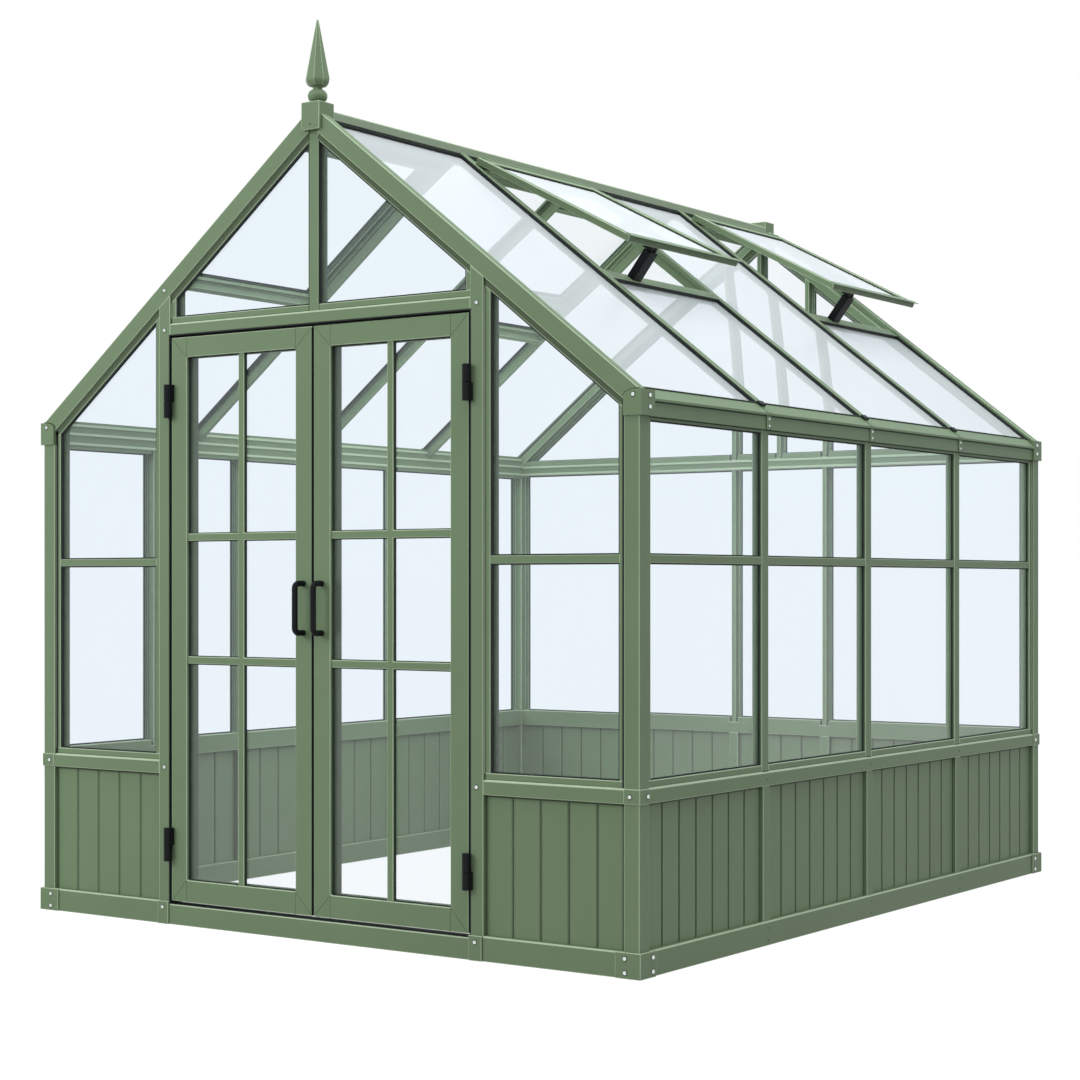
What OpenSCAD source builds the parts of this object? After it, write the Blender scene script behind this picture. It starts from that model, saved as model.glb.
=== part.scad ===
// Glazed aluminium greenhouse with a boarded plinth, double doors and four roof vents.
// Origin at the centre of the footprint on the ground, +Z up, door gable facing -Y.

/* [Overall] */
// Width over the corner posts
wall_w = 2580; // [2300:10:2900]
// Length over the corner posts
wall_l = 3090; // [2600:10:3600]
// Height of the corner posts
eaves_h = 1700; // [1600:10:1850]
// Rise from the post tops to the roof plane above the wall faces
eaves_rise = 80; // [74:1:90]
// Roof pitch in degrees
pitch = 38; // [34:1:42]
// Number of bays along the right wall and the roof
side_bays = 4; // [4:1:6]
// Number of bays along the left wall
left_bays = 6; // [4:1:8]

/* [Wall frame] */
// Side of the square corner posts, and depth of the wall frame
post = 55; // [50:1:62]
// Width of a door post
door_post_w = 52; // [46:1:58]
// Width of a mullion's outer flange
mullion_w = 45; // [40:1:52]
// Distance of the back wall's mullions from its middle
back_x = 240; // [200:5:320]
// Width of the king posts' outer flange
king_w = 40; // [34:1:46]
// Width of the stems behind the outer flanges
stem_w = 20; // [14:1:24]
// Width of the beads beside the glass
bead_w = 22; // [18:1:26]
// Recess of the beads and mullions behind the post faces
bead_set = 8; // [5:1:12]
// Depth of the glass plane behind the post faces
glass_set = 22; // [18:1:28]
// Chamfer along the outer edges of rails
rail_bevel = 3; // [1:0.5:5]

/* [Glass] */
// Thickness of a pane
glass_t = 4; // [3:0.5:6]
// Room for the gasket behind a pane
gasket_t = 1; // [0.5:0.5:2]
// Clearance between pieces that meet along the roof's slope, and beside the panels
seat_gap = 0.05; // [0.02:0.01:0.2]
// Gap between the edge of a pane and the bar beside it
edge_gap = 3; // [1:0.5:5]
// Depth of a pane's edge inside a rail
rebate = 12; // [8:1:16]

/* [Plinth] */
// Height of the base rails
base_h = 80; // [70:1:95]
// How far the base rails stand out from the posts
base_proud = 4; // [2:0.5:8]
// Height of the door threshold
threshold_h = 72; // [60:1:76]
// Height of the underside of the cill rail
cill_z = 525; // [460:5:600]
// Height of the cill rail's face
cill_h = 47; // [40:1:55]
// Width of the studs between the panels
stud_w = 45; // [38:1:52]
// Recess of the studs behind the post faces
stud_set = 3; // [1:0.5:8]
// Recess of the panels behind the post faces
panel_set = 16; // [10:1:22]
// Thickness of the panels
panel_t = 18; // [12:1:24]
// Width of one board of a panel
board_w = 104; // [90:1:150]
// Width of the groove between boards
groove_w = 13; // [8:1:15]

/* [Glazing bars] */
// Height of the middle of the glazing bars
bar_z = 1268; // [1100:5:1400]
// Height of a glazing bar's face
bar_h = 25; // [20:1:32]
// Recess of the glazing bars behind the post faces
bar_set = 10; // [8.5:0.5:16]
// Thickness of the web between two panes
bar_web = 3; // [2:0.5:5]
// Depth of the flange behind the panes
bar_back = 12; // [8:1:16]

/* [Corner brackets] */
// Length of a base bracket's arms
base_arm = 82; // [70:1:100]
// How far the base brackets stand out from the posts
base_bracket_proud = 10; // [9:0.5:14]
// Thickness of the cill brackets
cill_bracket_t = 4; // [3:0.5:6]
// Depth of an eaves bracket along the side wall
eaves_bracket_d = 72; // [66:1:85]
// Height of an eaves bracket's front plate at the inner edge of its post
eaves_plate_h = 60; // [50:1:70]
// How far the eaves brackets stand out from the gable
eaves_bracket_proud = 6; // [3:0.5:10]

/* [Eaves] */
// How far the eaves beam's nose stands out from the side wall
nose_out = 11; // [8:1:20]
// Height of the nose's lip
nose_lip = 7; // [5:0.5:10]
// How far the fascia stands out from the side wall
fascia_out = 3; // [1:0.5:6]
// Depth of the sloping band below the roof plane
band_drop = 14; // [10:1:18]
// Length of the sloping band up the roof from the wall face
band_up = 30; // [24:1:34]
// Height of the lip that holds the panes below the eaves beam
eaves_lip = 10; // [8:1:14]
// Width of the joint strips on the eaves beam
clip_w = 14; // [10:1:20]
// Thickness of the joint strips
clip_t = 3; // [2:0.5:5]

/* [Roof frame] */
// Width of a gable rafter's face
rafter_w = 58; // [52:1:66]
// Depth of the part of a gable rafter that stands above the roof glass
rafter_d = 38; // [30:1:46]
// Width of a roof bar's cap
cap_w = 34; // [30:1:40]
// Depth of the roof glass below the roof plane
cap_t = 22; // [18:1:28]
// Depth of the tops of the bars' caps below the roof plane
cap_low = 8; // [4:1:12]
// Depth of the roof bars' stems below the glass
stem_d = 34; // [26:1:44]
// Width of the ridge cap
ridge_w = 76; // [66:1:84]
// Height of the ridge cap's sides
ridge_side = 30; // [26:1:40]
// Width of the ridge body below the cap
ridge_body = 40; // [34:1:46]
// Gap between the roof plane of the glass and the ridge cap
ridge_gap = 1; // [0.5:0.5:3]
// Side of the apex blocks
apex_w = 78; // [70:1:88]
// Height of the apex blocks
apex_h = 94; // [88:1:104]
// Height of the apex blocks above the roof plane
apex_rise = 12; // [8:1:18]
// How far the apex blocks stand out from the gable
apex_proud = 12; // [8:1:16]

/* [Roof vents] */
// Length of a vent down the slope
vent_l = 734; // [650:1:850]
// Width of a vent's rails
vent_rail = 40; // [34:1:48]
// Thickness of a vent's frame
vent_t = 24; // [20:1:30]
// Depth of the glass below a vent's top face
vent_glass_set = 10; // [7:0.5:13]
// Overlap of a vent's glass on its frame
vent_rebate = 12; // [8:1:16]
// Gap beside a vent
vent_gap = 4; // [3:0.5:8]
// Distance of a vent's hinge edge from the ridge
vent_head = 56; // [48:1:70]
// Opening angle of the open vents in degrees
vent_angle = 10.5; // [8:0.5:14]
// Width of the sill below a vent
sill_w = 46; // [40:1:54]
// Radius of the tubes of a vent opener
opener_r = 10; // [8:0.5:12]
// Distance of an opener from the front side of its bay
opener_y = 180; // [120:5:260]
// Width of an opener's end blocks
opener_w = 52; // [46:1:60]
// Depth of an opener's end blocks
opener_d = 30; // [24:1:36]
// Thickness of an opener's end blocks
opener_t = 12; // [8:1:16]

/* [Doors] */
// Width of a door leaf
door_w = 644; // [580:1:700]
// Distance of the door header below the rafters, at the outer edges of the door posts
head_room = 59; // [50:1:90]
// Height of a leaf's bottom edge
door_z = 82; // [80:1:95]
// Thickness of a leaf
door_t = 38; // [34:1:40]
// Recess of a leaf behind the post faces
door_set = 2; // [0:0.5:4]
// Gap between a leaf and its post
side_gap = 7; // [6:0.5:10]
// Gap between the two leaves
meet_gap = 8; // [8:0.5:12]
// Gap above a leaf
head_gap = 8; // [6:0.5:12]
// Width of the stiles
stile_w = 72; // [62:1:84]
// Height of the top rail
top_rail = 70; // [60:1:84]
// Height of the bottom rail
bottom_rail = 76; // [64:1:90]
// Depth of the glass behind a leaf's face
door_glass_set = 18; // [15:1:22]
// Width of the bars over the glass
muntin_w = 25; // [20:1:30]
// Recess of the bars behind a leaf's face
muntin_set = 5; // [3:0.5:8]
// Height of the lower bar above a leaf's bottom edge
muntin_low = 844; // [750:1:950]
// Distance of the upper bar below a leaf's top edge
muntin_drop = 698; // [600:1:800]
// Height of the door header
head_h = 43; // [36:1:50]
// Width of the stop strips behind the leaves
stop_w = 12; // [8:1:16]
// Thickness of the stop strips
stop_t = 7; // [5:0.5:8]

/* [Hinges and handles] */
// Distance of the upper hinges' middle below a leaf's top edge
hinge_drop = 222; // [150:1:300]
// Height of the lower hinges' middle
hinge_low = 280; // [200:5:400]
// Length of a hinge
hinge_h = 116; // [100:1:130]
// Radius of a hinge barrel
hinge_r = 11; // [9.5:0.5:12]
// Distance of the hinge axis in front of the post faces
hinge_out = 15; // [14:0.5:18]
// Width of a hinge's foot beside its axis
hinge_foot = 16; // [13:0.5:20]
// Radius of a hinge pin
pin_r = 4; // [3:0.5:5]
// Length of a hinge pin above its barrel
pin_l = 45; // [35:1:50]
// Running gap around the pins
pin_gap = 0.05; // [0.02:0.01:0.1]
// Gap between the two halves of a hinge
half_gap = 0.4; // [0.3:0.1:1]
// Height of the handles' middle above a leaf's bottom edge
handle_z = 1028; // [900:1:1150]
// Overall length of a handle
handle_l = 185; // [150:1:220]
// Radius of a handle's bar
handle_r = 10; // [7:0.5:12]
// Distance of a handle's bar from the leaf
handle_out = 45; // [38:1:50]
// Radius of a handle's bends
handle_bend = 18; // [14:1:24]

/* [Finial] */
// Diameter of the finial's ball
ball_d = 66; // [56:1:74]
// Height of the finial's ball
ball_h = 46; // [40:1:52]
// Radius of the finial's neck
neck_r = 16; // [12:1:20]
// Height of the finial's neck
neck_h = 8; // [5:1:14]
// Width of the finial's spike at its shoulder
spike_w = 78; // [66:1:86]
// Height of the rounded foot below the spike's shoulder
foot_h = 26; // [20:1:34]
// Height of the spike above its shoulder
spike_h = 200; // [160:5:230]
// Width of the spike's tip
tip_w = 6; // [3:0.5:10]

/* [Hidden] */
$fn = 48;
cut = 1;
far = 4 * max(wall_w, wall_l);
paint = [0.52, 0.58, 0.49];
pane = [0.82, 0.90, 0.91, 0.35];
black = [0.06, 0.06, 0.06];
hw = wall_w / 2;
hl = wall_l / 2;
cill_top = cill_z + cill_h;
glass_back = glass_set + glass_t + gasket_t;
eaves_top = eaves_h + eaves_rise;
bead_drop = rafter_w + bead_w;
pane_drop = bead_drop - rebate;
seat_drop = cap_t + glass_t;
door_half = door_w + side_gap + meet_gap / 2;
door_post_out = door_half + door_post_w;
head_top = roof_z(door_post_out, -rafter_w) - head_room;
head_z = head_top - head_h;
door_h = head_z - head_gap - door_z;
muntin_high = door_h - muntin_drop;
hinge_high = door_z + door_h - hinge_drop;
tie_z = eaves_h;
tie_top = tie_z + cill_h;
apex_z1 = roof_z(0, 0) + apex_rise;
apex_z0 = apex_z1 - apex_h;
ridge_z = roof_z(ridge_body / 2, -cap_t) + ridge_gap;
side_bars = bay_bars(side_bays);
left_bars = bay_bars(left_bays);
back_bars = [-back_x, back_x];
gable_bars = [-back_x, 0, back_x];
hinge_u = slope_u(max(ridge_w, apex_w) / 2 + vent_head, 0);
sill_u = hinge_u - vent_l + vent_rail / 2;
head_u = hinge_u - vent_rail / 2;
open_bays = [for (i = [0:side_bays - 1]) if (i % 2 == 1) i];
closed_bays = [for (i = [0:side_bays - 1]) if (i % 2 == 0) i];
rafter_half = rafter_d - post / 2;
hinge_x = door_half - side_gap / 2;

// Height of the roof plane over x, moved along its normal by w
function roof_z(x, w) = eaves_top + (hw - abs(x)) * tan(pitch) + w / cos(pitch);
// Distance up the slope to a point over x that lies w above the roof plane
function slope_u(x, w) = (hw - abs(x) + w * sin(pitch)) / cos(pitch);
// Depth behind the wall face, and height, of a point on the slope
function slope_point(u, w) = [u * cos(pitch) - w * sin(pitch), eaves_top + u * sin(pitch) + w * cos(pitch)];
// Places of the bars between equal bays along a side wall
function bay_bars(bays) = let (pitch_l = (wall_l - 2 * post + mullion_w) / bays)
    [for (i = [1:bays - 1]) -hl + post + i * pitch_l - mullion_w / 2];
// The upright bars of a wall, each with its place and half width, between two posts
function wall_bars(half, end_half, places, bar_half) = concat(
    [[-half + post / 2, end_half]], [for (a = places) [a, bar_half]], [[half - post / 2, end_half]]);
// The clear spans between neighbouring bars, shortened at each end
function spans(bars, gap) = [for (i = [0:len(bars) - 2])
    [bars[i][0] + bars[i][1] + gap, bars[i + 1][0] - bars[i + 1][1] - gap]];
function side_spans(end_half, bar_half, gap) = spans(wall_bars(hl, end_half, side_bars, bar_half), gap);
function left_spans(end_half, bar_half, gap) = spans(wall_bars(hl, end_half, left_bars, bar_half), gap);
function back_spans(end_half, bar_half, gap) = spans(wall_bars(hw, end_half, back_bars, bar_half), gap);
function gable_spans(end_half, bar_half, gap) = spans(wall_bars(hw, end_half, gable_bars, bar_half), gap);
function front_span(extra, gap) = [door_post_out + extra + gap, hw - post - extra - gap];

// Wall places: X runs along the wall, Y goes in from its outer face
module front_wall() { translate([0, -hl, 0]) children(); }
module back_wall() { mirror([0, 1, 0]) front_wall() children(); }
module right_wall() { translate([hw, 0, 0]) rotate([0, 0, 90]) children(); }
module left_wall() { mirror([1, 0, 0]) right_wall() children(); }
module both_sides() { children(); mirror([1, 0, 0]) children(); }
module both_ends() { children(); mirror([0, 1, 0]) children(); }
// Roof places: X runs up the slope, Y along the ridge, Z out of the roof plane
module left_slope() { translate([-hw, 0, eaves_top]) rotate([0, -pitch, 0]) children(); }
module right_slope() { mirror([1, 0, 0]) left_slope() children(); }
// A section in depth and height, run along a wall
module run(span) {
    translate([span[0], 0, 0]) rotate([90, 0, 90]) linear_extrude(span[1] - span[0]) children();
}
// A section in place and depth, stood upright
module upright(z0, z1) { translate([0, 0, z0]) linear_extrude(z1 - z0) children(); }
// An outline in place and height, from depth d0 to d1
module plate(d0, d1) { translate([0, d1, 0]) rotate([90, 0, 0]) linear_extrude(d1 - d0) children(); }

module tee_section(flange) {
    translate([-flange / 2, bead_set]) square([flange, glass_set - bead_set]);
    translate([-stem_w / 2, glass_set]) square([stem_w, post - glass_set]);
}
// The two lips that hold the edge of a pane, standing on a rail and rooted in it
module lip_section(root) {
    difference() {
        translate([bead_set, -root]) square([post - bead_set, bead_w + root]);
        translate([glass_set, bead_w - rebate]) square([glass_t + gasket_t, rebate + cut]);
    }
}
module rail_section(z0, z1, front) {
    polygon([[front, z0], [front, z1 - rail_bevel], [front + rail_bevel, z1], [post, z1], [post, z0]]);
}
// Clears a rail's lips where a mullion stands in them
module lip_notch(place, width, z0) {
    translate([place - width / 2, bead_set, z0]) cube([width, post, bead_w + cut]);
}
module above_roof(drop) {
    left_slope() translate([-far / 2, -far / 2, -drop]) cube([far, far, far]);
    right_slope() translate([-far / 2, -far / 2, -drop]) cube([far, far, far]);
}

// Plinth
module base_rail(span, height) {
    run(span) rail_section(0, height, -base_proud);
}
module front_base_rails() {
    color(paint) front_wall() {
        both_sides() base_rail(front_span(0, 0), base_h);
        base_rail([-door_half, door_half], threshold_h);
    }
}
module side_base_rails() {
    color(paint) both_sides() right_wall() base_rail([-hl + post, hl - post], base_h);
}
module back_base_rail() {
    color(paint) back_wall() base_rail([-hw + post, hw - post], base_h);
}
module base_brackets() {
    p = base_bracket_proud;
    color(paint) both_sides() both_ends() translate([hw, -hl, 0]) difference() {
        translate([-base_arm, -p, 0]) cube([base_arm + p, base_arm + p, base_h]);
        translate([-base_arm - cut, 0, -cut]) cube([base_arm + cut, base_arm + cut, base_h + 2 * cut]);
        translate([-base_arm - cut, -base_proud, -cut])
            cube([base_arm - post + cut, base_proud + cut, base_h + 2 * cut]);
        translate([-cut, post, -cut]) cube([base_proud + cut, base_arm, base_h + 2 * cut]);
    }
    color(paint) front_wall() both_sides() translate([door_half, -p, 0]) cube([door_post_w, p, base_h]);
}
module stud(place) {
    translate([place - stud_w / 2, stud_set, base_h]) cube([stud_w, post - stud_set, cill_z - base_h]);
}
module panel_studs() {
    color(paint) {
        right_wall() for (a = side_bars) stud(a);
        left_wall() for (a = left_bars) stud(a);
        back_wall() for (x = back_bars) stud(x);
    }
}
module panel(span) {
    width = span[1] - span[0] - 2 * seat_gap;
    boards = round(width / board_w);
    translate([span[0] + seat_gap, panel_set, 0]) upright(base_h, cill_z) difference() {
        square([width, panel_t]);
        for (i = [1:boards - 1])
            for (face = [0, panel_t]) translate([i * width / boards, face])
                rotate(45) square(groove_w * sqrt(0.5), center = true);
    }
}
module front_panels() {
    color(paint) front_wall() both_sides() panel(front_span(0, 0));
}
module right_panels() {
    color(paint) right_wall() for (s = side_spans(post / 2, stud_w / 2, 0)) panel(s);
}
module left_panels() {
    color(paint) left_wall() for (s = left_spans(post / 2, stud_w / 2, 0)) panel(s);
}
module back_panels() {
    color(paint) back_wall() for (s = back_spans(post / 2, stud_w / 2, 0)) panel(s);
}
module cill_rail(span, places) {
    difference() {
        union() {
            run(span) rail_section(cill_z, cill_top, 0);
            run(span) translate([0, cill_top]) lip_section(rail_bevel);
        }
        for (a = places) lip_notch(a, mullion_w, cill_top);
    }
}
module front_cill_rails() {
    color(paint) front_wall() both_sides() cill_rail(front_span(0, 0), []);
}
module side_cill_rails() {
    span = [-hl + post, hl - post];
    color(paint) {
        right_wall() cill_rail(span, side_bars);
        left_wall() cill_rail(span, left_bars);
    }
}
module back_cill_rail() {
    color(paint) back_wall() cill_rail([-hw + post, hw - post], back_bars);
}
module cill_brackets() {
    t = cill_bracket_t;
    color(paint) both_sides() both_ends() translate([hw, -hl, cill_z]) difference() {
        translate([-post, -t, 0]) cube([post + t, post + t, cill_h]);
        translate([-post - cut, 0, -cut]) cube([post + cut, post + t + cut, cill_h + 2 * cut]);
    }
}

// Posts and mullions
// A bead beside a front pane, from z0 up to the gable's own bead
module gable_bead(x0, x1, z0) {
    plate(bead_set, glass_set)
        polygon([[x0, z0], [x1, z0], [x1, roof_z(x1, -bead_drop)], [x0, roof_z(x0, -bead_drop)]]);
}
module corner_post() {
    translate([hw - post, 0, 0]) cube([post, post, eaves_h]);
    translate([hw - glass_set, post, cill_top + bead_w])
        cube([glass_set - bead_set, bead_w, eaves_h - eaves_lip - cill_top - bead_w]);
}
module corner_posts() {
    side = hw - post;
    color(paint) both_sides() {
        front_wall() {
            corner_post();
            gable_bead(side - bead_w, side, cill_top + bead_w);
        }
        back_wall() {
            corner_post();
            translate([side - bead_w, bead_set, cill_top + bead_w])
                cube([bead_w, glass_set - bead_set, tie_z - cill_top - bead_w]);
        }
    }
}
module door_posts() {
    color(paint) front_wall() both_sides() {
        plate(0, post) polygon([[door_half, 0], [door_post_out, 0],
            [door_post_out, roof_z(door_post_out, -rafter_w - seat_gap)],
            [door_half, roof_z(door_half, -rafter_w - seat_gap)]]);
        gable_bead(door_post_out, door_post_out + bead_w, cill_top + bead_w);
        gable_bead(door_half - bead_w, door_half, head_top + bead_w);
        translate([door_half - stop_w, post - stop_t, threshold_h])
            cube([stop_w, stop_t, head_z - stop_w - threshold_h]);
    }
}
module right_mullions() {
    color(paint) right_wall() upright(cill_top, eaves_h) for (a = side_bars)
        translate([a, 0]) tee_section(mullion_w);
}
module left_mullions() {
    color(paint) left_wall() upright(cill_top, eaves_h) for (a = left_bars)
        translate([a, 0]) tee_section(mullion_w);
}
module back_mullions() {
    color(paint) back_wall() upright(cill_top, tie_z) for (x = back_bars)
        translate([x, 0]) tee_section(mullion_w);
}
module glazing_bar(outer, inner) {
    run(outer) translate([bar_set, bar_z - bar_h / 2]) square([glass_set - bar_set, bar_h]);
    run(inner) translate([glass_set, bar_z - bar_web / 2]) square([glass_back - glass_set, bar_web]);
    run(inner) translate([glass_back, bar_z - bar_h / 2]) square([bar_back, bar_h]);
}
module glazing_bars() {
    outer = side_spans(post / 2 + bead_w, mullion_w / 2, 0);
    inner = side_spans(post / 2, stem_w / 2, 0);
    color(paint) {
        front_wall() both_sides() glazing_bar(front_span(bead_w, 0), front_span(0, 0));
        right_wall() for (i = [0:side_bays - 1]) glazing_bar(outer[i], inner[i]);
    }
}

// Gables
module door_header() {
    span = [-door_half, door_half];
    color(paint) front_wall() difference() {
        union() {
            run(span) rail_section(head_z, head_top, 0);
            run(span) translate([0, head_top]) lip_section(rail_bevel);
            run(span) translate([post - stop_t, head_z - stop_w]) square([stop_t, stop_w + rail_bevel]);
        }
        lip_notch(0, king_w, head_top);
    }
}
module front_king_post() {
    color(paint) front_wall() upright(head_top, apex_z0) tee_section(king_w);
}
module back_tie_rail() {
    span = [-hw + post, hw - post];
    color(paint) back_wall() difference() {
        union() {
            run(span) rail_section(tie_z, tie_top, 0);
            run(span) translate([0, tie_top]) lip_section(rail_bevel);
        }
        run([-far, far]) translate([glass_set, tie_z - cut]) square([glass_t + gasket_t, rebate + cut]);
        for (x = gable_bars) lip_notch(x, x == 0 ? king_w : mullion_w, tie_top);
        above_roof(rafter_w + seat_gap);
    }
}
module back_gable_bars() {
    color(paint) {
        difference() {
            back_wall() upright(tie_top, apex_z0) for (x = back_bars)
                translate([x, 0]) tee_section(mullion_w);
            above_roof(rafter_w + seat_gap);
        }
        back_wall() upright(tie_top, apex_z0) tee_section(king_w);
    }
}
// One rafter of the gable at -Y on the left slope, its bead cleared at each column and below a height
module rafter(columns, low) {
    top_u = slope_u(0, 0) + post;
    head_w = max(apex_w, ridge_w);
    difference() {
        left_slope() translate([0, -hl, 0]) {
            translate([0, 0, -rafter_w]) cube([top_u, rafter_d, rafter_w]);
            translate([0, 0, -rafter_w]) cube([top_u, post, rafter_w - seat_drop]);
        }
        translate([-head_w / 2, -far / 2, apex_z0]) cube(far);
        translate([-king_w / 2, -far / 2, 0]) cube(far);
    }
    difference() {
        left_slope() translate([0, -hl + bead_set, -bead_drop]) cube([top_u, glass_set - bead_set, bead_w]);
        for (c = columns) translate([c[0], -far / 2, 0]) cube([c[1] - c[0], far, far]);
        translate([-far, -far / 2, low - far]) cube([2 * far, far, far]);
        translate([-king_w / 2, -far / 2, 0]) cube(far);
    }
}
module front_rafters() {
    color(paint) both_sides() rafter([[-far, -hw + post], [-door_post_out, -door_half]], eaves_h);
}
module back_rafters() {
    color(paint) both_sides() mirror([0, 1, 0])
        rafter([[-far, -hw + post], [-back_x - mullion_w / 2, -back_x + mullion_w / 2]], tie_top + bead_w);
}
// Room for the apex blocks in the roof panes
module apex_room() {
    side = apex_w + 2 * edge_gap;
    both_ends() front_wall() translate([-side / 2, -apex_proud - edge_gap, apex_z0 - edge_gap])
        cube([side, side, apex_h + 2 * edge_gap]);
}
module apex_blocks() {
    color(paint) both_ends() front_wall() translate([-apex_w / 2, -apex_proud, apex_z0])
        cube([apex_w, apex_w, apex_h]);
}
// An octagonal spike through a list of half widths and heights
module octagon_spike(half) {
    corner = 1 / cos(22.5);
    rotate(22.5) for (i = [0:len(half) - 2]) translate([0, 0, half[i][1]])
        cylinder(h = half[i + 1][1] - half[i][1], r1 = corner * half[i][0], r2 = corner * half[i + 1][0],
            $fn = 8);
}
module finial() {
    edge = ball_h / 2;
    root = neck_r + 3 * cut;
    foot = [for (turn = [0:30:90]) [root + (spike_w / 2 - root) * sin(turn), foot_h * (1 - cos(turn))]];
    color(paint) translate([0, -hl - apex_proud + apex_w / 2, apex_z1]) {
        rotate_extrude() intersection() {
            union() {
                translate([ball_d / 2 - edge, edge]) circle(edge);
                square([ball_d / 2 - edge, ball_h]);
            }
            square([ball_d, ball_h]);
        }
        translate([0, 0, edge]) cylinder(r = neck_r, h = edge + neck_h + cut);
        translate([0, 0, ball_h + neck_h]) octagon_spike(concat(foot, [[tip_w / 2, foot_h + spike_h]]));
    }
}

// Eaves
function band_point(depth) = slope_point((depth - band_drop * sin(pitch)) / cos(pitch), -band_drop);
nose = band_point(-nose_out);
module eaves_beam(places) {
    seat = seat_drop + seat_gap;
    inner_u = (post - seat * sin(pitch)) / cos(pitch);
    difference() {
        union() {
            run([-hl + post, hl - post]) polygon([
                [0, eaves_h], band_point(0), slope_point(band_up, -band_drop), slope_point(band_up, -seat),
                slope_point(inner_u, -seat), [post, eaves_h]]);
            run([-hl + eaves_bracket_d, hl - eaves_bracket_d]) polygon([
                band_point(bead_set), [bead_set, eaves_h], [-fascia_out, eaves_h],
                [-fascia_out, nose[1] - nose_lip], [-nose_out, nose[1] - nose_lip], nose]);
            run([-hl + post, hl - post]) translate([bead_set, eaves_h - eaves_lip])
                square([post - bead_set, eaves_lip + cut]);
        }
        run([-far, far]) translate([glass_set, eaves_h - eaves_lip - cut])
            square([glass_t + gasket_t, rebate + cut]);
        for (a = places) translate([a - mullion_w / 2, bead_set, eaves_h - eaves_lip - cut])
            cube([mullion_w, post, eaves_lip + cut]);
    }
}
module eaves_beams() {
    color(paint) {
        right_wall() eaves_beam(side_bars);
        left_wall() eaves_beam(left_bars);
    }
}
// A plate over the end of a rafter, a block below it, and a block behind the plate's outer edge
module eaves_bracket() {
    lower = slope_point(-seat_gap, -rafter_w - seat_gap);
    outer = hw + nose_out;
    arc = [for (turn = [0:15:90]) [hw - post * cos(turn),
        eaves_h + eaves_plate_h + (eaves_rise - eaves_plate_h) * sin(turn)]];
    plate(-eaves_bracket_proud, 0)
        polygon(concat([[outer, eaves_top], [outer, eaves_h], [hw - post, eaves_h]], arc));
    plate(0, post) polygon([
        [hw - post, eaves_h], [hw - post, roof_z(hw - post, -rafter_w - seat_gap)], [hw - lower[0], lower[1]],
        [hw + seat_gap / cos(pitch), eaves_top], [outer, eaves_top], [outer, eaves_h]]);
    plate(0, eaves_bracket_d) translate([hw + seat_gap / cos(pitch), eaves_h])
        square([nose_out - seat_gap / cos(pitch), eaves_rise]);
}
module eaves_brackets() {
    color(paint) both_sides() both_ends() front_wall() eaves_bracket();
}
module eaves_clip(place) {
    translate([place - clip_w / 2, -fascia_out - clip_t, eaves_h])
        cube([clip_w, clip_t, nose[1] - nose_lip - eaves_h]);
}
module eaves_clips() {
    color(paint) {
        right_wall() for (a = side_bars) eaves_clip(a);
        left_wall() for (a = left_bars) eaves_clip(a);
    }
}

// Roof
module ridge_beam() {
    low = roof_z(ridge_body / 2, -cap_t - stem_d);
    top = ridge_z + ridge_side;
    start = -hl - apex_proud + apex_w;
    color(paint) translate([0, -start, 0]) rotate([90, 0, 0]) linear_extrude(-2 * start) polygon([
        [-ridge_body / 2, low], [ridge_body / 2, low], [ridge_body / 2, ridge_z], [ridge_w / 2, ridge_z],
        [ridge_w / 2, top - rail_bevel], [ridge_w / 2 - rail_bevel, top], [-ridge_w / 2 + rail_bevel, top],
        [-ridge_w / 2, top - rail_bevel], [-ridge_w / 2, ridge_z], [-ridge_body / 2, ridge_z]]);
}
module roof_bars_left() {
    top_u = slope_u(0, 0);
    for (a = side_bars) difference() {
        union() {
            left_slope() translate([band_up, a - cap_w / 2, -cap_t]) cube([top_u, cap_w, cap_t - cap_low]);
            difference() {
                left_slope() translate([0, a - stem_w / 2, -cap_t - stem_d])
                    cube([top_u, stem_w, stem_d + cut]);
                translate([-far - hw + post, -far / 2, 0]) cube(far);
            }
        }
        translate([-ridge_w / 2, -far / 2, ridge_z]) cube(far);
        translate([-ridge_body / 2, -far / 2, 0]) cube(far);
    }
}
module left_roof_bars() {
    color(paint) roof_bars_left();
}
module right_roof_bars() {
    color(paint) mirror([1, 0, 0]) roof_bars_left();
}
full_u = slope_u(ridge_body / 2 + edge_gap, -seat_drop);
// The roof panes of one slope: short ones below the vents, and full ones elsewhere
module roof_panes(vent_bays) {
    bays = side_spans(rafter_half, stem_w / 2, edge_gap);
    low_u = band_up + edge_gap;
    for (i = [0:side_bays - 1]) {
        top_u = len(search(i, vent_bays)) > 0 ? sill_u - stem_w / 2 - edge_gap : full_u;
        translate([low_u, bays[i][0], -seat_drop]) cube([top_u - low_u, bays[i][1] - bays[i][0], glass_t]);
    }
}
module left_roof_glass() {
    color(pane) difference() {
        left_slope() roof_panes(closed_bays);
        apex_room();
    }
}
module right_roof_glass() {
    color(pane) difference() {
        right_slope() roof_panes(open_bays);
        apex_room();
    }
}

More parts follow.
